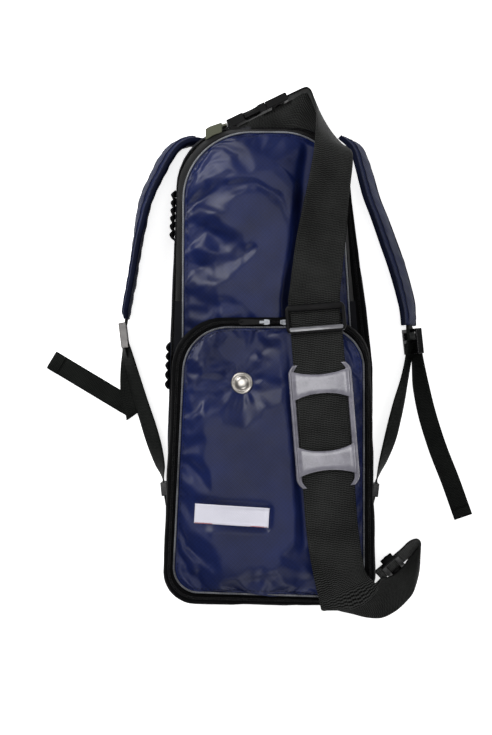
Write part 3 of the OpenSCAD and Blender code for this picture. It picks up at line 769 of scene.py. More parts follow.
# ------------------------------------------------------------------ front gusset between the zip and the piping
gr = []
for Q, d, z in ((G, 0.4, 66.8), (G, -0.3, 70), (G, -0.6, 76), (G, -0.5, 84), (G, 0.0, 92), (G, 0.8, 100)):
    gr.append(at_z(ring(Q, d), z))
for f, z in ((0.2, 107), (0.42, 112.5), (0.66, 117), (0.86, 120), (0.97, 121.6)):
    a, b = ring(G, 1.2), ring(F, -1.0)
    gr.append(at_z(a * (1 - f) + b * f, z))
gr = gr[:1] + bulge(gr[1:-1], 1.2, 7.7, 0.022) + gr[-1:]
# the top slider runs along here, so the cloth stays flat and a little back
flat = [at_z(ring(G, 0.5), r[0][2]) for r in gr[:6]]
for r, q in zip(gr[:6], flat):
    f = (smoothstep(205, 222, r[:, 1]) * (1 - smoothstep(20, 34, r[:, 0])))[:, None]
    r[:, :2] = r[:, :2] * (1 - f) + q[:, :2] * f
front_gusset = loft("front_gusset_cloth", gr, mats=(M["black_nylon"], M["lining"]))
solidify(front_gusset, 1.6, -1, 1)
blend_flap(front_gusset, "lower_gusset", "flap_band")


# ------------------------------------------------------------------ puffed panels
def ease_rows(y0, y1, n, k0, k1):
    """Row heights, closer together at the ends that have rounded corners."""
    t = np.linspace(0, 1, n)
    if k0 and k1:
        t = 0.5 - 0.5 * np.cos(np.pi * t) * (0.9) + 0 * t
        t = (t - t[0]) / (t[-1] - t[0])
    elif k1:
        t = np.sin(t * np.pi / 2) ** 0.9
    return y0 + (y1 - y0) * t


def make_panel(name, Q, d, z, y0, y1, ny, nx, k0, k1, mat):
    pts = resample(ring(Q, d, 20), 0.8, True)
    verts, faces, uv = [], [], []
    ys = ease_rows(y0, y1, ny, k0, k1)
    top, bot = pts[:, 1].max(), pts[:, 1].min()
    nxt = np.roll(pts, -1, 0)
    for y in ys:
        y = min(max(y, bot + 0.02), top - 0.02)
        m = ((pts[:, 1] - y) * (nxt[:, 1] - y) <= 0) & (np.abs(pts[:, 1] - nxt[:, 1]) > 1e-9)
        a, b = pts[m], nxt[m]
        xs = a[:, 0] + (b[:, 0] - a[:, 0]) * (y - a[:, 1]) / (b[:, 1] - a[:, 1])
        for u in np.linspace(0, 1, nx):
            verts.append((xs.min() + (xs.max() - xs.min()) * u, y, z))
    for j in range(ny - 1):
        for i in range(nx - 1):
            faces.append((j*nx + i, j*nx + i + 1, (j + 1)*nx + i + 1, (j + 1)*nx + i))
            for q in faces[-1]:
                uv.append((verts[q][0], verts[q][1]))
    return add_mesh(name, verts, faces, np.array(uv) * MM, (mat,))


def coords(o):
    c = np.zeros(len(o.data.vertices) * 3)
    o.data.vertices.foreach_get("co", c)
    return c.reshape(-1, 3) / MM


def set_coords(o, c):
    o.data.vertices.foreach_set("co", (np.asarray(c) * MM).astype(np.float32).ravel())
    o.data.update()


def inflate(o, pins, pressure, grow, frames=22, stiff=12, bend=0.35, mass=0.25):
    """Cloth with a little extra length, pushed outwards by pressure, its edge held."""
    vg = o.vertex_groups.new(name="pin")
    for i, w in pins.items():
        vg.add([i], w, "REPLACE")
    m = o.modifiers.new("cloth", "CLOTH")
    s = m.settings
    s.quality = 7
    s.mass = mass
    s.air_damping = 2.0
    s.tension_stiffness = stiff
    s.compression_stiffness = stiff
    s.shear_stiffness = stiff * 0.4
    s.bending_stiffness = bend
    s.tension_damping = s.compression_damping = 8
    s.shear_damping = 5
    s.vertex_group_mass = "pin"
    s.use_pressure = True
    s.uniform_pressure_force = pressure
    s.shrink_min = grow
    s.effector_weights.gravity = 0
    m.collision_settings.use_self_collision = False
    m.collision_settings.use_collision = False
    m.point_cache.frame_start, m.point_cache.frame_end = 1, frames + 5
    scene.frame_start, scene.frame_end = 1, frames + 5
    for f in range(1, frames + 1):
        scene.frame_set(f)
    dg = bpy.context.evaluated_depsgraph_get()
    e = o.evaluated_get(dg)
    c = np.zeros(len(e.data.vertices) * 3)
    e.data.vertices.foreach_get("co", c)
    o.modifiers.clear()
    o.vertex_groups.clear()
    scene.frame_set(1)
    set_coords(o, c.reshape(-1, 3) / MM)
    return True


def edge_dist(xy, Q, d):
    pts = resample(ring(Q, d, 16), 1.5, True)
    out = np.empty(len(xy))
    for i in range(0, len(xy), 4000):
        q = xy[i:i + 4000]
        out[i:i + 4000] = np.sqrt(((q[:, None, :] - pts[None]) ** 2).sum(2)).min(1)
    return out


SL0, SL1 = np.array([41.65, 60.9]), np.array([59.3, -161.5])


def sling_centre(y):
    """x of the sling's middle at each y."""
    ys = [-240, -226, -196, -161.5, 60.9, 78, 100, 125, 152, 180, 203, 226]
    xs = [75, 70.5, 64.6, 59.3, 41.65, 43.5, 46.5, 50, 53.5, 57, 60, 61.5]
    return np.interp(y, ys, xs)


def folds(c, lines):
    """Soft creases along listed lines: each (x0, y0, x1, y1, width, height, sharpness)."""
    dz = np.zeros(len(c))
    for x0, y0, x1, y1, w, h in lines:
        a, b = np.array([x0, y0], float), np.array([x1, y1], float)
        ab = b - a
        L = np.linalg.norm(ab)
        t = np.clip(((c[:, :2] - a) @ ab) / L**2, 0, 1)
        p = a + t[:, None] * ab
        off = (c[:, :2] - p)
        side = (off[:, 0] * ab[1] - off[:, 1] * ab[0]) / L
        dist = np.linalg.norm(off, axis=1)
        # a crease falls steeply on one side and runs out gently on the other
        wide = w * (0.875 + 0.375 * np.tanh(side / 1.5))
        env = np.sin(np.clip(t, 0.02, 0.98) * np.pi) ** 0.6
        dz += h * np.exp(-(dist / wide) ** 2) * env
    return dz


# upper panel
NYM, NXM = 92, 74
upper = make_panel("front_panel_cloth", F, 0.9, 122.6, 18, 225.0, NYM, NXM, False, True, M["navy"])
c = coords(upper)
ed = edge_dist(c[:, :2], F, 0.9)
grid_i = np.arange(len(c)).reshape(NYM, NXM)
border = set(grid_i[:, 0]) | set(grid_i[:, -1]) | set(grid_i[-1]) | set(grid_i[0])
base = c.copy()
crown = 7.0 * (1 - np.exp(-ed / 22.0))
c[:, 2] += crown
for i in range(len(c)):
    if i not in border:
        c[i, 2] += 0.8 * fbm(c[i, 0] * 0.03 + 4, c[i, 1] * 0.02, 0.3, 3) * min(ed[i] / 12, 1)
set_coords(upper, c)
ran = inflate(upper, {int(i): 1.0 for i in border}, 0.9, -0.035, frames=26)
c = coords(upper)
d = c - base
d[:, :2] = np.clip(d[:, :2], -5, 5)
c[:, :2] = base[:, :2] + d[:, :2]
fade = smoothstep(0, 10, ed)
c[:, 2] += 1.35 * fade * folds(c, [
    (-84, 150, -44, 172, 8, -2.6), (-50, 172, -14, 176, 8, -3.0), (-20, 178, 12, 160, 8, -2.6), (6, 168, 24, 122, 7, -2.4),
    (-84, 168, -40, 188, 10, 2.0), (-40, 160, -6, 164, 9, 2.2), (-16, 160, 6, 128, 9, 1.8),
    (-78, 138, -34, 118, 10, -3.2), (-62, 128, -44, 122, 8, -2.0), (-76, 152, -36, 140, 8, 2.4), (-78, 112, -40, 106, 8, 2.2),
    (-84, 98, -62, 94, 6, -2.6), (-74, 82, -34, 74, 7, 1.8), (-74, 60, -34, 58, 6, -1.6), (-30, 96, 6, 70, 9, 1.8),
    (-30, 108, 0, 116, 7, -1.6), (-24, 84, 8, 96, 7, -1.2), (-20, 205, 15, 212, 12, -0.8), (-58, 44, -14, 52, 7, 1.4)])
# the sling presses the cloth down
sx = sling_centre(c[:, 1])
under = 1 - smoothstep(24, 34, np.abs(c[:, 0] - sx))
lim = 125.2
c[:, 2] = np.where(c[:, 2] > lim, c[:, 2] - (c[:, 2] - lim) * under, c[:, 2])
c[:, 2] = np.clip(c[:, 2], 122.2, 137.0)
set_coords(upper, c)
subdivide(upper, 1)
solidify(upper, 0.8, -1)
blend_flap(upper, "flap_panel")

# piping round the front panel, one cord from side to side over the top
pf = ring(F, 0, 16)
pf = resample(pf, 2.2, True)
k = int(np.argmin(np.where(pf[:, 0] > 0, np.abs(pf[:, 1] - 24), 1e9)))
pf = np.roll(pf, -k, 0)
pf = pf[: next(i for i in range(20, len(pf)) if pf[i][0] < 0 and pf[i][1] < 24)]
wob = np.array([0.35 * noise.noise(Vector((p[0] * 0.03, p[1] * 0.03, 1.7))) for p in pf])
pipe1 = tube("front_piping_cord", np.column_stack([pf, 123.5 + wob]), 0.85, 10, mats=(M["piping"],))
blend_flap(pipe1, "flap_piping", "front_piping")


# ------------------------------------------------------------------ pocket
PZ = 143.0
rows = []
for Q, dd, z in ((PO, 1.4, 122.3), (PO, 0.4, 124.5), (PO, -0.4, 129), (PO, -0.5, 133), (PO, 0.0, 137), (PO, 0.9, 139.6), (PO, 2.2, 141.0)):
    rows.append(at_z(ring(Q, dd), z))
rows = rows[:1] + bulge(rows[1:-1], 0.9, 12.4, 0.03) + rows[-1:]
pg = loft("pocket_gusset_cloth", rows, mats=(M["black_nylon"], M["lining"]))
solidify(pg, 1.4, -1, 1)
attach(pg, "bag")
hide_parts("pocket_gusset")
tpo = tape("pocket_zip_tape_outer", PO, 1.8, ZQ, -0.2, 140.6, lambda x, y: True, lift=0.6)
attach(tpo, "bag")
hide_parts("pocket_zip_outer")
ctop = lambda x, y: True
tho = teeth("pocket_zip_coil_outer", ZQ, -0.75, 141.2, 1.5, ctop)
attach(tho, "bag")
tpi = tape("pocket_zip_tape_inner", ZQ, 0.2, P, -0.4, 140.9, lambda x, y: True, lift=0.6)
blend_pocket(tpi, "pocket_zip_inner", "pocket_zip_flap")
thi = teeth("pocket_zip_coil_inner", ZQ, 0.75, 141.2, 1.5, ctop)
blend_pocket(thi)

NYP, NXP = 104, 78
pocket = make_panel("pocket_panel_cloth", P, 0.8, 142.9, -223.5, 34.0, NYP, NXP, True, True, M["navy"])
c = coords(pocket)
g = np.arange(len(c)).reshape(NYP, NXP)
ed = edge_dist(c[:, :2], P, 0.8)
base = c.copy()
border = set(g[:, 0]) | set(g[:, -1]) | set(g[-1]) | set(g[0])
snap = np.array([-28.0, -19.0])
rs = np.linalg.norm(c[:, :2] - snap, axis=1)
crown = 7.5 * (1 - np.exp(-ed / 20.0)) * (1 - np.exp(-(rs / 26.0) ** 2))
c[:, 2] += crown
for i in range(len(c)):
    if i not in border:
        c[i, 2] += 0.8 * fbm(c[i, 0] * 0.028 + 9, c[i, 1] * 0.022, 2.3, 3) * min(ed[i] / 12, 1)
set_coords(pocket, c)
pins = {int(i): 1.0 for i in border}
for i in np.nonzero(rs < 10)[0]:
    pins[int(i)] = 1.0
ran = inflate(pocket, pins, 0.9, -0.035, frames=26)
c = coords(pocket)
d = c - base
d[:, :2] = np.clip(d[:, :2], -5, 5)
c[:, :2] = base[:, :2] + d[:, :2]
rs = np.linalg.norm(c[:, :2] - snap, axis=1)
th_ = np.arctan2(c[:, 1] - snap[1], c[:, 0] - snap[0])
fade = smoothstep(0, 10, ed)
puck = (0.75 * np.cos(11 * th_ + 0.6) + 0.5 * np.cos(7 * th_ + 2.0)) * np.exp(-((rs - 14) / 9.0) ** 2)
c[:, 2] += puck * smoothstep(9, 12, rs)
c[:, 2] += 1.5 * fade * smoothstep(10, 26, rs) * folds(c, [
    (-80, 6, -44, -12, 7, 1.8), (-76, -40, -40, -28, 7, -1.6), (-20, 20, -8, -4, 7, 1.5), (-60, 24, -40, 2, 7, -1.5),
    (-16, -34, 20, -62, 8, 1.8), (-40, -40, -60, -80, 8, 1.6), (-10, -18, 22, -22, 7, -1.4),
    (-88, -176, -56, -206, 7, 2.0), (-90, -196, -64, -216, 5, -1.8), (-80, -168, -30, -196, 8, -1.5),
    (-60, -112, -10, -122, 9, 1.6), (-84, -96, -50, -112, 8, -1.3), (30, -196, 52, -214, 6, 1.6), (-14, -180, 30, -204, 8, 1.4),
    (70, -60, 86, -52, 5, 1.2), (72, -86, 86, -92, 5, 1.2), (-30, -212, 10, -206, 7, -1.2)])
sx = sling_centre(c[:, 1])
under = 1 - smoothstep(28, 38, np.abs(c[:, 0] - sx))
lim = 146.6
c[:, 2] = np.where(c[:, 2] > lim, c[:, 2] - (c[:, 2] - lim) * under, c[:, 2])
# flat seat round the snap
c[:, 2] = c[:, 2] * smoothstep(8.5, 15, rs) + (PZ - 0.1) * (1 - smoothstep(8.5, 15, rs))
# the label stiffens the cloth under it
lab_c, lab_a = np.array([-37.7, -147.0]), math.radians(-3.6)
lx = (c[:, 0] - lab_c[0]) * math.cos(lab_a) + (c[:, 1] - lab_c[1]) * math.sin(lab_a)
ly = -(c[:, 0] - lab_c[0]) * math.sin(lab_a) + (c[:, 1] - lab_c[1]) * math.cos(lab_a)
inl = (1 - smoothstep(34, 44, np.abs(lx))) * (1 - smoothstep(8, 18, np.abs(ly)))
zl = 148.6 + 0.8 * np.cos(lx / 38)
c[:, 2] = c[:, 2] * (1 - inl * fade) + zl * inl * fade
c[:, 2] = np.clip(c[:, 2], 142.4, 154.5)
set_coords(pocket, c)
bvh_co = [Vector(v) for v in coords(pocket)]
bvh = BVHTree.FromPolygons(bvh_co, [tuple(p.vertices) for p in pocket.data.polygons])
subdivide(pocket, 1)
solidify(pocket, 0.8, -1)
blend_pocket(pocket, "pocket_panel", "pocket_flap_panel")

pp = resample(ring(P, 0, 16), 2.2, True)
wob = np.array([0.3 * noise.noise(Vector((p[0] * 0.035, p[1] * 0.035, 5.1))) for p in pp])
pipe2 = tube("pocket_piping_cord", np.column_stack([pp, 144.0 + wob]), 0.95, 10, closed=True, mats=(M["piping_dark"],))
blend_pocket(pipe2, "pocket_piping", "pocket_flap_piping")


def stitches(name, path, z_of, length=2.4, gap=1.5, r=0.28, mat="thread"):
    """A run of stitches lying on the cloth."""
    p = resample(path, length + gap)
    verts, faces = [], []
    for i in range(len(p) - 1):
        a, b = p[i], p[i] + unit(p[i + 1] - p[i]) * length
        u = unit(b - a)
        w = np.array([-u[1], u[0]])
        base_i = len(verts)
        for t in (0, 0.25, 0.75, 1):
            q = a + (b - a) * t
            h = r * (0.2 if t in (0, 1) else 1.0)
            zz = z_of(q[0], q[1])
            for s, k2 in ((-1, 0), (0, 1), (1, 0)):
                verts.append((q[0] + w[0]*s*r, q[1] + w[1]*s*r, zz + h * k2 + 0.02))
        for s in range(3):
            for j in range(2):
                faces.append((base_i + s*3 + j, base_i + s*3 + j + 1, base_i + s*3 + 4 + j, base_i + s*3 + 3 + j))
    return add_mesh(name, verts, faces, None, (M[mat],))


# label, laid on the cloth
def on_cloth(x, y, lift):
    hit = bvh.ray_cast(Vector((x, y, 200)), Vector((0, 0, -1)))
    return (hit[0].z if hit[0] is not None else PZ) + lift


def lab_pt(a, b):
    return (lab_c[0] + a * math.cos(lab_a) - b * math.sin(lab_a), lab_c[1] + a * math.sin(lab_a) + b * math.cos(lab_a))


def lab_patch(name, a0, a1, b0, b1, lift, t, mat, na=30, nb=10):
    verts, faces, uv = [], [], []
    for j in range(nb + 1):
        for i in range(na + 1):
            a, b = a0 + (a1 - a0) * i / na, b0 + (b1 - b0) * j / nb
            x, y = lab_pt(a, b)
            verts.append((x, y, on_cloth(x, y, lift)))
    for j in range(nb):
        for i in range(na):
            f = (j*(na + 1) + i, j*(na + 1) + i + 1, (j + 1)*(na + 1) + i + 1, (j + 1)*(na + 1) + i)
            faces.append(f)
            uv += [(verts[q][0], verts[q][1]) for q in f]
    o = add_mesh(name, verts, faces, np.array(uv) * MM, (M[mat],))
    solidify(o, t, 1)
    return o


lb = lab_patch("label_cloth", -36, 36, -9.5, 9.5, 0.35, 0.45, "label")
blend_pocket(lb, "label")
lr = lab_patch("label_red_line", -35.6, 35.6, -9.35, -8.75, 0.72, 0.15, "red", 30, 1)
blend_pocket(lr)
bord = [lab_pt(a, b) for a, b in ((-34.6, 8.2), (34.6, 8.2), (34.6, -7.7), (-34.6, -7.7), (-34.6, 8.2))]
ls = stitches("label_stitches", np.array(bord), lambda x, y: on_cloth(x, y, 0.75), 1.6, 1.2, 0.2, "label")
blend_pocket(ls)

# topstitching inside the piping
in_f = ring(F, 4.0, 16)
in_f = resample(in_f, 2.0, True)
k = int(np.argmin(np.where(in_f[:, 0] > 0, np.abs(in_f[:, 1] - 50), 1e9)))
in_f = np.roll(in_f, -k, 0)
in_f = in_f[: next(i for i in range(20, len(in_f)) if in_f[i][0] < 0 and in_f[i][1] < 50)]
ub = BVHTree.FromPolygons([Vector(v) for v in coords(upper)], [tuple(p.vertices) for p in upper.data.polygons])


def on_upper(x, y):
    hit = ub.ray_cast(Vector((x, y, 200)), Vector((0, 0, -1)))
    return hit[0].z if hit[0] is not None else 123.0


s1 = stitches("front_panel_stitches", in_f, on_upper)
blend_flap(s1)
in_p = resample(ring(P, 3.6, 16), 2.0, True)
s2 = stitches("pocket_panel_stitches", np.vstack([in_p, in_p[:1]]), lambda x, y: on_cloth(x, y, 0.1))
blend_pocket(s2)

# ------------------------------------------------------------------ snap
def lathe(name, prof, centre, z, mat, seg=64):
    rows = [[(centre[0] + r * math.cos(t), centre[1] + r * math.sin(t), z + h) for t in np.linspace(0, 2*math.pi, seg, endpoint=False)] for r, h in prof]
    return loft(name, rows, mats=(mat,), cap1=True, cap0=True, flip=True)


cap = lathe("snap_cap_rings", [(9.2, 0.0), (10.4, 0.15), (10.6, 0.8), (10.3, 1.5), (9.6, 1.95), (8.9, 1.8), (8.4, 1.1), (7.8, 0.8), (7.2, 0.9), (6.8, 1.5), (6.4, 2.5), (5.7, 3.1), (4.4, 3.5), (3.0, 3.68), (1.6, 3.76), (0.4, 3.78)], snap, PZ - 0.1, M["snap_metal"])
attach(cap, "pocket_flap")
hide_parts("snap_cap")

# ------------------------------------------------------------------ sling
def unitv(v):
    return np.asarray(v, float) / np.linalg.norm(v)


sl_d = unit(SL1 - SL0)
sl_s = np.array([-sl_d[1], sl_d[0], 0.0])
up_c = [((41.45, 62.1, 152.9), (0.9969, 0.0793, 0)), ((43.5, 78, 147.2), (0.993, 0.12, 0)), ((46.3, 100, 135), (0.992, 0.125, -0.03)),
        ((49.6, 125, 130), (0.985, 0.127, -0.12)), ((53, 150, 134), (0.90, 0.10, -0.40)), ((57, 175, 138.5), (0.84, 0.04, -0.54)),
        ((60.5, 199, 139), (0.79, -0.02, -0.61)), ((61, 212, 134), (0.73, -0.14, -0.67)), ((57.8, 223, 123), (0.55, -0.3, -0.78)),
        ((54, 235, 106), (0.36, -0.3, -0.88)), ((51, 247, 81), (0.2, -0.2, -0.96)), ((47.5, 258, 56), (0.08, -0.06, -0.99)),
        ((43.4, 268.5, 39), (0, 0, -1)), ((41, 276, 32.5), (0, 0, -1)),
        ((37.6, 278.9, 31), (0, 0, -1)), ((33.6, 277.9, 31), (0, 0, -1)), ((12.4, 267.8, 31), (0, 0, -1))]
up_e = [np.concatenate([np.array(a) - unitv(w) * 25, np.array(a) + unitv(w) * 25]) for a, w in up_c]
low_e = []
for y in (-161.5, -110, -60, -10, 30, 60.9):
    t = (60.9 - y) / 222.4
    a = np.array([41.65 + 17.65 * t, y, 153.0])
    low_e.append(np.concatenate([a - sl_s * 25, a + sl_s * 25]))
low_tail = [
    (39.7, -198, 152.8, 89.5, -194, 152.8), (46, -226, 150.4, 94, -206, 150), (50.5, -238.8, 141, 102, -219.5, 141),
    (52, -240.8, 128, 104, -221, 128), (54, -241.4, 105, 105, -222.8, 105), (59, -243.5, 64, 107.4, -223.6, 73), (70, -252.5, 27, 111.6, -221, 50),
    (86, -258, 11, 115.5, -218.5, 30), (101, -262.3, 5, 122, -218.8, 22), (116, -263, 2.6, 129.5, -215.9, 18), (130, -256.5, 2.4, 138, -207.6, 18),
    (141, -247, 2.4, 143.6, -199.4, 19), (149, -237, 2.4, 148.6, -192.5, 24), (153.5, -222, 2.4, 152.5, -186.5, 33), (155.4, -207, 2.4, 153, -181, 42),
    (155, -197.5, 3.2, 148.5, -177.5, 49.5), (150.8, -196, 5, 141, -180, 53), (143.9, -200.6, 6.5, 133, -187.5, 53.5), (116.6, -223.5, 6.5, 105.7, -210.4, 53.5)]
whole = [np.array(e, float) for e in low_tail[::-1]] + low_e + up_e[1:]


def smooth_edges(edges, step):
    e = np.asarray(edges, float)
    C = (e[:, :3] + e[:, 3:]) / 2
    full = smooth_path(np.column_stack([C, e]), step)
    return full[:, 3:]


sl = smooth_edges(whole, 2.6)
# the webbing isn't a ruled strip: its selvedges ripple a little where it is slack
C = (sl[:, :3] + sl[:, 3:]) / 2
for i in range(len(sl)):
    if C[i][1] < -170 or C[i][2] < 100:
        f = 0.5 * noise.noise(Vector((C[i][0] * 0.05, C[i][1] * 0.05, C[i][2] * 0.05)))
        sl[i, 2] = max(sl[i, 2] + f, 1.3)
sling = ribbon("sling_webbing", sl, 2.1, (M["webbing"],), across=25)
# where it goes over the bag's lower corner it lies round the corner, not through it
c = coords(sling)
CC, CR = np.array([73.0, -206.0]), 33.6
hold = (1 - smoothstep(143, 150, c[:, 2])) * smoothstep(40, 60, c[:, 2]) * (c[:, 1] < -200)
v = c[:, :2] - CC
v[:, 0] = np.where(c[:, 0] < CC[0], 0, v[:, 0])
r_ = np.linalg.norm(v, axis=1)
push = np.maximum(CR - r_, 0) * hold
c[:, :2] += v / np.maximum(r_, 1e-6)[:, None] * push[:, None]
set_coords(sling, c)
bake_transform(sling)
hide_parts("sling_webbing_lower", "sling_webbing_upper")


# pad: plate, rails and two saddle bands, from outlines in its own frame
def place_local(verts, centre, ang):
    ca, sa = math.cos(ang), math.sin(ang)
    return [(centre[0] + x*ca - y*sa, centre[1] + x*sa + y*ca, centre[2] + z) for x, y, z in verts]


SA = math.atan2(sl_s[1], sl_s[0])


def on_sling(y):
    t = (60.9 - y) / 222.4
    return (41.65 + 17.65 * t, y, 153.0)


def saddle(name, top_mid, top_end, bot_mid, bot_end, z0, t, wx=27.8, n=30, m=12):
    """A cross band: hourglass in plan, arched over the webbing, its thickness t."""
    verts, faces = [], []
    for side, off in ((1, 0.0), (0, -t)):
        for j in range(m + 1):
            v = j / m
            for i in range(n + 1):
                x = -wx + 2 * wx * i / n
                e = abs(x / wx) ** 2.2
                yt = top_mid + (top_end - top_mid) * e
                yb = bot_mid + (bot_end - bot_mid) * e
                y = yb + (yt - yb) * v
                rim = 0.35 * (1 - min(v, 1 - v) / 0.14) if min(v, 1 - v) < 0.14 else 0
                z = z0 + t + off + 1.0 * (1 - (x / wx) ** 2) - (rim * 1.4 if side else -rim * 0.6) + 1.1 * max(0, abs(x / wx) - 0.86) / 0.14 * side
                verts.append((x, y, z))
    W = n + 1
    K = W * (m + 1)
    for j in range(m):
        for i in range(n):
            a = j*W + i
            faces.append((a, a + 1, a + W + 1, a + W))
            faces.append((K + a, K + a + W, K + a + W + 1, K + a + 1))
    for i in range(n):
        faces.append((i, K + i, K + i + 1, i + 1))
        a = m*W + i
        faces.append((a, a + 1, K + a + 1, K + a))
    for j in range(m):
        a = j*W
        faces.append((a, a + W, K + a + W, K + a))
        a = j*W + n
        faces.append((a, K + a, K + a + W, a + W))
    return verts, faces


def pad_piece():
    cx = on_sling(-59.6)
    allv, allf = [], []

    def put(v, f):
        b = len(allv)
        allv.extend(v)
        allf.extend([tuple(q + b for q in p) for p in f])
    put(*saddle("a", 49.2, 54.0, 31.0, 25.0, 1.6, 1.8))
    put(*saddle("b", -25.0, -19.0, -43.3, -48.6, 1.6, 1.8))
    # side rails: a raised rounded bead outside a channel, tapering at the ends
    for s in (-1, 1):
        prof = [(24.9, -4.2), (30.3, -4.2), (30.6, -2.5), (30.5, 2.0), (30.0, 3.6), (29.2, 4.3), (28.3, 4.0), (27.6, 3.1), (26.6, 2.7), (25.8, 2.5), (25.7, 1.2), (25.7, -1.3), (24.9, -1.6)]
        ys = np.concatenate([np.linspace(-59.5, -50, 8), np.linspace(-48, 48, 30), np.linspace(50, 59.5, 8)])
        v, f = [], []
        for y in ys:
            e = max(0.0, (abs(y) - 50) / 9.5)
            inn = 5.0 * e ** 2.0
            sc = 1 - 0.55 * e ** 3
            for x, z in prof:
                v.append((s * (x - inn), y, z * sc if z > 0 else z + (4.2 + z) * 0))
        m_ = len(prof)
        for i in range(len(ys) - 1):
            for j in range(m_):
                k_ = (j + 1) % m_
                q = (i*m_ + j, i*m_ + k_, (i + 1)*m_ + k_, (i + 1)*m_ + j)
                f.append(q if s < 0 else q[::-1])
        a = tuple(range(m_))
        b = tuple((len(ys) - 1)*m_ + j for j in range(m_))
        f.append(a[::-1] if s < 0 else a)
        f.append(b if s < 0 else b[::-1])
        put(v, f)
    # base plate under the webbing, with an oval window
    v, f = [], []
    n = 72
    outer, inner = [], []
    for i in range(n):
        t = 2*math.pi*i/n
        ex = 0.32
        x = 25.2 * math.copysign(abs(math.cos(t)) ** ex, math.cos(t))
        y = 57.5 * math.copysign(abs(math.sin(t)) ** ex, math.sin(t))
        outer.append((x, y))
        inner.append((x * 0.72, y * 0.36))
    for z in (-4.2, -1.6):
        v += [(x, y, z) for x, y in outer] + [(x, y, z) for x, y in inner]
    for i in range(n):
        k_ = (i + 1) % n
        f += [(i, n + i, n + k_, k_), (2*n + i, 2*n + k_, 3*n + k_, 3*n + i), (i, k_, 2*n + k_, 2*n + i), (n + i, 3*n + i, 3*n + k_, n + k_)]
    put(v, f)
    o = add_mesh("sling_pad_moulding", place_local(allv, cx, SA), allf, None, (M["grey"],))
    bm = bmesh.new()
    bm.from_mesh(o.data)
    bmesh.ops.recalc_face_normals(bm, faces=bm.faces)
    bm.to_mesh(o.data)
    bm.free()
    m = o.modifiers.new("bevel", "BEVEL")
    m.width, m.segments, m.limit_method, m.angle_limit = 0.5 * MM, 3, "ANGLE", math.radians(40)
    apply_mods(o)
    for p in o.data.polygons:
        p.use_smooth = True
    return o


pad = pad_piece()
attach(pad, "sling_pad")
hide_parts("sling_pad")


# three-bar slides: rounded bars in a rounded frame
def rounded_bar(p0, p1, w, h, r=0.9, seg=5, power=3.0):
    """A bar from p0 to p1 with a superellipse section w x h (h is up)."""
    p0, p1 = np.array(p0, float), np.array(p1, float)
    t = unit(p1 - p0)
    s = unit(np.cross(t, [0, 0, 1]))
    u = np.cross(s, t)
    rows = []
    for k_ in (0, 0.03, 0.97, 1):
        c_ = p0 + (p1 - p0) * k_
        f = 0.8 if k_ in (0, 1) else 1.0
        rows.append([c_ + s * (math.copysign(abs(math.cos(a)) ** (2 / power), math.cos(a)) * w / 2 * f)
                     + u * (math.copysign(abs(math.sin(a)) ** (2 / power), math.sin(a)) * h / 2 * f) for a in np.linspace(0, 2*math.pi, 20, endpoint=False)])
    return np.array(rows)


def frame_ring(w, l, r, bw, z0, z1, k=8):
    """A rounded rectangular frame, bw wide, as a lofted loop with a soft section."""
    def rr(hw, hl, rad):
        pts = []
        for cx, cy, a0 in ((hw - rad, hl - rad, 0), (-hw + rad, hl - rad, 90), (-hw + rad, -hl + rad, 180), (hw - rad, -hl + rad, 270)):
            for a in np.linspace(a0, a0 + 90, k + 1):
                pts.append((cx + rad * math.cos(math.radians(a)), cy + rad * math.sin(math.radians(a))))
        return np.array(pts)
    zm, h = (z0 + z1) / 2, (z1 - z0) / 2
    sec = [(0.5 * math.copysign(abs(math.cos(a)) ** 0.7, math.cos(a)), math.copysign(abs(math.sin(a)) ** 0.7, math.sin(a))) for a in np.linspace(0, 2*math.pi, 14, endpoint=False)]
    rows = []
    for sx_, sz in sec:
        off = bw / 2 - sx_ * bw
        rows.append(at_z(rr(w/2 - off, l/2 - off, max(r - off, 0.5)), zm + sz * h))
    rows.append(rows[0])
    return rows


def to_faces(rows, closed_m=True):
    v = np.vstack(rows)
    n, m = len(rows), len(rows[0])
    f = []
    for i in range(n - 1):
        for j in range(m if closed_m else m - 1):
            k_ = (j + 1) % m
            f.append((i*m + j, i*m + k_, (i + 1)*m + k_, (i + 1)*m + j))
    return v, f


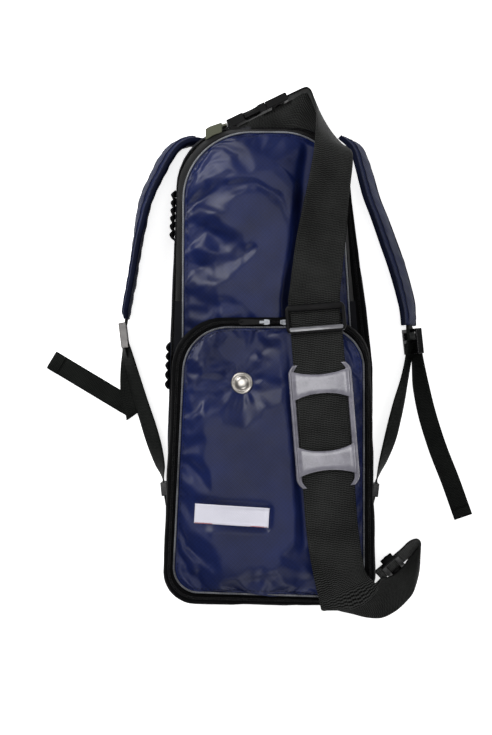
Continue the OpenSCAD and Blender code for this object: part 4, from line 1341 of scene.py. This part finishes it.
def three_bar(name, centre, rot, w=58.0, l=28.0, gap=1.4, mats=None, scale=1.0, bar=(5.0, 3.2), mid=(6.0, 3.0)):
    """rot is a 3x3 matrix from the slide's own frame (x across the webbing, y along it, z up) to the world."""
    allv, allf, fm = [], [], []

    def put(v, f, mi=0):
        b = len(allv)
        allv.extend([tuple(q) for q in v])
        allf.extend([tuple(q + b for q in p) for p in f])
        fm.extend([mi] * len(f))
    rows = frame_ring(w, l, 5.5 * l / 28, 3.4 * l / 28 + 0.4, gap + 0.0, gap + bar[1])
    put(*to_faces(rows))
    for y in (l/2 - bar[0]/2 - 0.1, -l/2 + bar[0]/2 + 0.1):
        r_ = rounded_bar((-w/2 + 2.2, y, gap + bar[1]/2), (w/2 - 2.2, y, gap + bar[1]/2), bar[0], bar[1])
        v, f = to_faces(list(r_))
        # the lower bar takes the second material; on the adjuster this is the painted highlight
        mi = 1 if y < 0 and mats and len(mats) > 1 else 0
        put(v, f + [tuple(range(20)), tuple(range(60, 80))[::-1]], mi)
    for s in (-1, 1):
        r_ = rounded_bar((s*(w/2 - 1.75), -l/2 + 4, 0), (s*(w/2 - 1.75), l/2 - 4, 0), 3.3, 2*gap + 2*bar[1] - 1.4)
        v, f = to_faces(list(r_))
        put(v, f + [tuple(range(20)), tuple(range(60, 80))[::-1]])
    r_ = rounded_bar((-w/2 + 0.6, 0, -gap - mid[1]/2), (w/2 - 0.6, 0, -gap - mid[1]/2), mid[0], mid[1])
    v, f = to_faces(list(r_))
    put(v, f + [tuple(range(20)), tuple(range(60, 80))[::-1]])
    vv = (np.array(allv) @ np.array(rot).T) + np.array(centre)
    o = add_mesh(name, vv, allf, None, mats or (M["plastic"],), face_mat=fm)
    bm = bmesh.new()
    bm.from_mesh(o.data)
    bmesh.ops.recalc_face_normals(bm, faces=bm.faces)
    bm.to_mesh(o.data)
    bm.free()
    return o


def rot_z(a):
    return np.array([[math.cos(a), -math.sin(a), 0], [math.sin(a), math.cos(a), 0], [0, 0, 1]])


def rot_x(a):
    return np.array([[1, 0, 0], [0, math.cos(a), -math.sin(a)], [0, math.sin(a), math.cos(a)]])


# the adjuster's lower bar gets the lighter grey of a painted highlight
adj = three_bar("sling_adjuster_moulding", on_sling(43.6), rot_z(SA), mats=(M["matt"], M["grey_painted_highlight"]), bar=(6.2, 3.6))
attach(adj, "adjuster")
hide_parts("sling_adjuster")
def rot_y(a):
    return np.array([[math.cos(a), 0, math.sin(a)], [0, 1, 0], [-math.sin(a), 0, math.cos(a)]])


RL = rot_z(math.radians(40.03)) @ rot_x(math.radians(90)) @ rot_z(math.radians(90)) @ rot_y(math.radians(19.93))
low_slide = three_bar("sling_lower_slide_moulding", (124.85, -205.3, 30.1), RL, l=21.5, mats=(M["matt"],))
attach(low_slide, "bag")
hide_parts("sling_lower_slide")

softened("sling_buckle_female", 1.2, M["matt"])
softened("sling_buckle_male", 0.8, M["matt"])
softened("sling_lower_anchor", 0.3, M["webbing_narrow"])
softened("sling_upper_anchor", 0.3, M["olive"])
# the slack of the sling below the buckle, a curved sheet that reaches the bag's top edge
low_ = resample(np.array([[-31.0, 236.8], [-18, 237.4], [12, 236.0], [36, 233.0], [55, 228.5]]), 2.5)
top_ = resample(np.array([[-31.0, 239.6], [-20, 245.0], [-10, 250.0], [24, 267.0], [29, 270.6], [34, 273.6], [38.2, 273.6], [41.4, 266.5], [44.6, 259], [48, 252], [50, 245], [53.5, 236.5], [56.5, 230.5]]), 2.5)
fr_ = np.linspace(0, 1, 46)
lo_a, to_a = arc(low_) / arc(low_)[-1], arc(top_) / arc(top_)[-1]
rows_ = []
for w_ in np.linspace(0, 1, 12):
    row = []
    for f_ in fr_:
        a_ = np.array([np.interp(f_, lo_a, low_[:, k_]) for k_ in (0, 1)])
        b_ = np.array([np.interp(f_, to_a, top_[:, k_]) for k_ in (0, 1)])
        q_ = a_ * (1 - w_) + b_ * w_
        row.append((q_[0], q_[1], 57.0 - 5.0 * w_ ** 2 + 0.9 * noise.noise(Vector((q_[0] * 0.06, q_[1] * 0.05, 2.2)))))
    rows_.append(row)
slack = loft("sling_slack_webbing", rows_, closed=False, mats=(M["webbing"],), uvscale=1.0)
solidify(slack, 1.6, 0)
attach(slack, "flap")
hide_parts("sling_tail")
# the left ladder lock takes the mid grey of a painted highlight; the right lock is plain black plastic
for n_, w_, m_ in (("lower_slide_left", 0.5, "plastic"), ("lower_slide_right", 0.5, "plastic"), ("ladder_lock_left", 0.8, "lock_grey_painted_highlight"), ("ladder_lock_right", 0.8, "plastic"),
                   ("pocket_slider_left", 0.5, "steel"), ("pocket_slider_right", 0.5, "steel"), ("main_slider_side", 0.5, "dark_metal"), ("main_slider_top", 0.5, "dark_metal"),
                   ("pocket_pull_left", 0.35, "matt"), ("main_pull_side", 0.35, "matt"), ("main_pull_top", 0.35, "matt")):
    softened(n_, w_, M[m_])


# ------------------------------------------------------------------ ruched elastic at the left
def ruche(name, y0, y1, teeth_n, x_of, amp):
    ys = np.linspace(y0, y1, teeth_n * 14 + 1)
    out = []
    for z in (18.5, 20, 26, 34, 44, 54, 61, 62.5):
        row = []
        for y in ys:
            ph = (y - y0) / (y1 - y0) * teeth_n
            tri = abs((ph % 1) * 2 - 1)
            w = 1 - tri ** 1.6
            f = 0.35 if z in (18.5, 62.5) else 1.0
            row.append((x_of(y) - (1.2 + amp * w * f) , y + 0.6 * math.sin(z * 0.3 + ph), z + 0.4 * math.sin(ph * 6.3)))
        out.append(row)
    o = loft(name, out, closed=False, mats=(M["elastic"],))
    solidify(o, 1.1, 0)
    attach(o, "bag")
    return o


bx = lambda y: -101 + (9.0 * y / 238 if y > 0 else (-5 * -y / 236))
ru1 = ruche("side_elastic_upper", 126, 174.5, 6, lambda y: bx(y) + 0.8, 4.3)
ru2 = ruche("side_elastic_lower", -25.5, 21, 5, lambda y: bx(y) + 0.6, 3.4)
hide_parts("side_elastic")


# ------------------------------------------------------------------ padded shoulder straps
def pad_strap(name, C, z0, z1, thick, lean, seed, mats):
    """A padded strap on its edge: soft filled section, bound top and bottom, quilting creases."""
    p = np.array([(x, y, 0.0) for x, y in C])
    q = smooth_path(p, 3.0)
    n = len(q)
    d = np.zeros_like(q)
    d[1:-1] = q[2:] - q[:-2]
    d[0], d[-1] = q[1] - q[0], q[-1] - q[-2]
    s = arc(q)
    H = (z1 - z0) / 2
    seg = 32
    rows = []
    edges = {1: [], -1: []}
    for i in range(n):
        t = unit(d[i])
        nrm = np.array([-t[1], t[0], 0])
        tk = np.interp(s[i], [0, s[-1] * 0.5, s[-1]], thick) / 2
        tk *= min(1, 0.55 + s[i] / 22, 0.6 + (s[-1] - s[i]) / 14)
        hh = H * min(1, 0.9 + s[i] / 60, 0.72 + (s[-1] - s[i]) / 34)
        row = []
        for a in np.linspace(0, 2*math.pi, seg, endpoint=False):
            ca, sa_ = math.cos(a), math.sin(a)
            h = math.copysign(abs(sa_) ** 0.85, sa_)
            b = math.copysign(abs(ca) ** 0.75, ca)
            seam = 1 - 0.42 * math.exp(-((abs(h) - 0.74) / 0.07) ** 2)
            wr = 1 + 0.14 * fbm(s[i] * 0.05 + seed, h * 1.3, b * 0.4) + 0.05 * math.sin(s[i] * 0.42 + 2 * h + seed)
            lx_ = np.interp(s[i] / s[-1], lean[0], lean[1]) * (h * 0.5)
            row.append(q[i] + nrm * (b * tk * seam * wr) + np.array([lx_, 0, z0 + H + h * hh]))
        rows.append(np.array(row))
        for sg in (1, -1):
            edges[sg].append(q[i] + np.array([np.interp(s[i] / s[-1], lean[0], lean[1]) * 0.5 * sg, 0, z0 + H + sg * (hh - 0.2)]))
    o = loft(name, rows, mats=(mats[0],), cap0=True, cap1=True)
    return o, np.array(edges[1]), np.array(edges[-1]), rows


def flat_tube(name, path, w, h, mat, seg=12):
    p = np.asarray(path, float)
    n = len(p)
    d = np.zeros_like(p)
    d[1:-1] = p[2:] - p[:-2]
    d[0], d[-1] = p[1] - p[0], p[-1] - p[-2]
    rows = []
    for i in range(n):
        t = unit(d[i])
        a = unit(np.cross(t, [0, 0, 1]))
        b = np.cross(a, t)
        rows.append([p[i] + a * (math.cos(q_) * w) + b * (math.sin(q_) * h) for q_ in np.linspace(0, 2*math.pi, seg, endpoint=False)])
    return loft(name, rows, mats=(mat,), cap0=True, cap1=True)


LC = [(-72.5, 226.5), (-84, 227), (-96, 221.5), (-105.5, 210.5), (-113, 196.5), (-122, 178), (-128, 161), (-131, 145), (-134.5, 125), (-137.5, 106), (-140.6, 86.5), (-143.7, 69), (-146, 55), (-146.3, 46)]
RC = [(77.5, 230), (89.5, 218.5), (97, 198), (104.5, 171), (113, 149), (122, 124), (130, 101), (137, 77), (141, 60), (142, 49), (142.6, 39.5)]
LS, LE = (-0.103, 0, 0), (-0.123, 0, 0)
RS, RE = (0.103, 0, 0), (0.123, 0, 0)
for side, C_, lean, thick, st, en, body in (
        ("left", LC, ((0, 0.15, 0.4, 0.6, 1.0), (9.0, 12.5, 11.0, 3.5, 0.5)), (10.5, 11.0, 9.0), LS, LE, "strap_left"),
        ("right", RC, ((0, 0.22, 0.6, 0.88, 1.0), (-12.0, -15.5, -17.5, -16.5, -13.0)), (9.5, 10.0, 10.0), RS, RE, "strap_right")):
    o, et, eb, rws = pad_strap("shoulder_strap_" + side, C_, 2.2, 46.6, thick, lean, 3.0 if side == "left" else 8.0, (M["strap_navy"],))
    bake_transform(o)
    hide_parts("shoulder_anchor_" + side, "strap_pad_" + side)
    for nm, path in (("top", et), ("bottom", eb)):
        b = flat_tube(f"strap_binding_{side}_{nm}", path, 2.6, 1.5, M["binding"])
        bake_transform(b)
    # two seam lines on the face that looks up
    for jj in ((13, 19) if side == "left" else (3, 29)):
        path = np.array([r_[jj] for r_ in rws[2:-2]])
        b = flat_tube(f"strap_seam_{side}_{jj}", path, 0.5, 0.4, M["thread"], 6)
        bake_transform(b)


# ------------------------------------------------------------------ narrow webbing
def lean_edges(C, w, ks):
    out = []
    for (x, y, z), k_ in zip(C, ks):
        zz = math.sqrt(max(0, 1 - k_ * k_))
        v = np.array([k_, 0, zz]) * w / 2
        a = np.array([x, y, z], float)
        out.append(np.concatenate([a - v, a + v]))
    return out


web_l = [(-148.9, 34, 15.0), (-147.6, 24, 15), (-146.4, 13.5, 15), (-140.6, -9, 14.4), (-132.4, -37.5, 14), (-124.4, -63, 13.4), (-118.2, -84, 13.4), (-112.4, -105, 13.4), (-110.2, -114, 13.4), (-108.8, -121.5, 13.4), (-107.4, -135.5, 13.4), (-105.6, -147, 13.4)]
kl = [0.05, 0.25, 0.5, 0.64, 0.74, 0.8, 0.76, 0.5, 0.2, 0.0, 0.0, 0.0]
web_r = [(146.6, 30, 17), (145.2, 18, 15.4), (143.6, 7.2, 14), (139.4, -15, 12.4), (134, -38, 12), (129, -59, 12), (123.8, -80, 12.4), (117, -101, 13), (112.6, -113, 13.4), (109.9, -122.5, 13.4), (108.1, -136.5, 13.4), (106.6, -143, 13.4), (105.7, -149, 13.4)]
kr = [-0.5, -0.5, -0.4, -0.45, -0.62, -0.68, -0.66, -0.45, -0.2, 0, 0, 0, 0]
for side, C_, ks, body, nodes in (("left", web_l, kl, "strap_left", ("strap_web_left", "lower_anchor_left")), ("right", web_r, kr, "strap_right", ("strap_web_right", "lower_anchor_right"))):
    e = smooth_edges(lean_edges(C_, 20, ks), 2.2)
    e[:, 2] = np.maximum(e[:, 2], 1.2)
    o = ribbon("strap_webbing_" + side, e, 1.5, (M["webbing_narrow"],), across=9)
    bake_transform(o)
    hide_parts(*nodes)

# the pads' end loops, which hold the locks
for side, C_, ks in (("left", [(-146.2, 54, 14.4), (-147.0, 44, 14.6), (-148.6, 36, 15), (-149.4, 30, 15.2)], [0.0, 0.0, 0.05, 0.05]),
                     ("right", [(142.4, 50, 17), (143.4, 40, 17), (145.4, 31, 17), (147.0, 24, 17)], [-0.15, -0.3, -0.45, -0.5])):
    e = smooth_edges(lean_edges(C_, 20, ks), 2.0)
    o = ribbon("strap_end_loop_" + side, e, 2.6, (M["webbing_narrow"],), across=9)
    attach(o, "strap_" + side)

# left tail: down from the lock, folded over on the floor, then out to its hemmed end
d2 = np.array([math.cos(math.radians(149)), math.sin(math.radians(149)), 0])
s2_ = np.array([-d2[1], d2[0], 0])
fold_l = np.array([-147.8, -58.5, 0]) ; fold_r = np.array([-133.6, -48.4, 0])
tail_l = [
    (-149.9, 26, 4.0, -149.3, 26, 22), (-151.5, 14, 3.0, -147.6, 15, 19), (-153.6, -4, 3.4, -141.5, -5, 10), (-154.2, -20, 3.4, -135.5, -22, 5.4),
    (-153.2, -36, 3.2, -133.8, -37, 4.0), (fold_l[0] - 0.6, -54, 3.1, -133.4, -45, 3.3), (fold_l[0], fold_l[1], 2.3, fold_r[0], fold_r[1], 2.4)]
e1 = smooth_edges([np.array(q, float) for q in tail_l], 2.0)
end = []
for dist, z in ((2, 1.2), (10, 1.1), (30, 1.1), (60, 1.15), (85, 1.2), (97, 1.3)):
    c0 = np.array([-141, -46.5, 0]) + d2 * dist
    end.append(np.concatenate([c0 + s2_ * 10 + [0, 0, z], c0 - s2_ * 10 + [0, 0, z]]))
e2 = smooth_edges([np.array([fold_l[0], fold_l[1], 1.6, fold_r[0], fold_r[1], 1.7])] + end, 2.0)
tl = ribbon("strap_tail_left_webbing", np.vstack([e1, e2[1:]]), 1.4, (M["webbing_narrow"],), across=9)
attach(tl, "strap_left")
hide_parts("strap_tail_left")
h0 = []
for dist, z in ((86, 2.1), (88, 2.75), (96, 2.85), (97.6, 2.2), (98.0, 1.3)):
    c0 = np.array([-141, -46.5, 0]) + d2 * dist
    h0.append(np.concatenate([c0 + s2_ * 10.1 + [0, 0, z], c0 - s2_ * 10.1 + [0, 0, z]]))
hm = ribbon("strap_tail_left_hem", smooth_edges(h0, 2.0), 1.3, (M["webbing_narrow"],), across=9)
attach(hm, "strap_left")

tail_r = [(149.6, 24, 15.5), (151.6, 12, 13.6), (153.2, 0, 10.5), (156.4, -22, 6.6), (163.4, -53, 4.0), (174.5, -88, 3.2), (187.4, -121, 2.8), (200.8, -158.6, 2.4)]
kt = [0.45, 0.5, 0.6, 0.82, 0.93, 0.96, 0.97, 0.975]
er = []
for (x, y, z), k_ in zip(tail_r, kt):
    zz = math.sqrt(max(0, 1 - k_ * k_))
    v = np.array([k_ * 0.94, k_ * 0.34, zz]) * 9.8
    a = np.array([x, y, z], float)
    er.append(np.concatenate([a - v, a + v]))
er = smooth_edges(er, 2.2)
er[:, 2] = np.maximum(er[:, 2], 1.0)
er[:, 5] = np.maximum(er[:, 5], 1.0)
tr = ribbon("strap_tail_right_webbing", er, 1.4, (M["webbing_narrow"],), across=9)
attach(tr, "strap_right")
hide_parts("strap_tail_right")
hr = er[-6:].copy()
hr[:, 2] += 1.35
hr[:, 5] += 1.35
hm2 = ribbon("strap_tail_right_hem", hr, 1.3, (M["webbing_narrow"],), across=9)
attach(hm2, "strap_right")
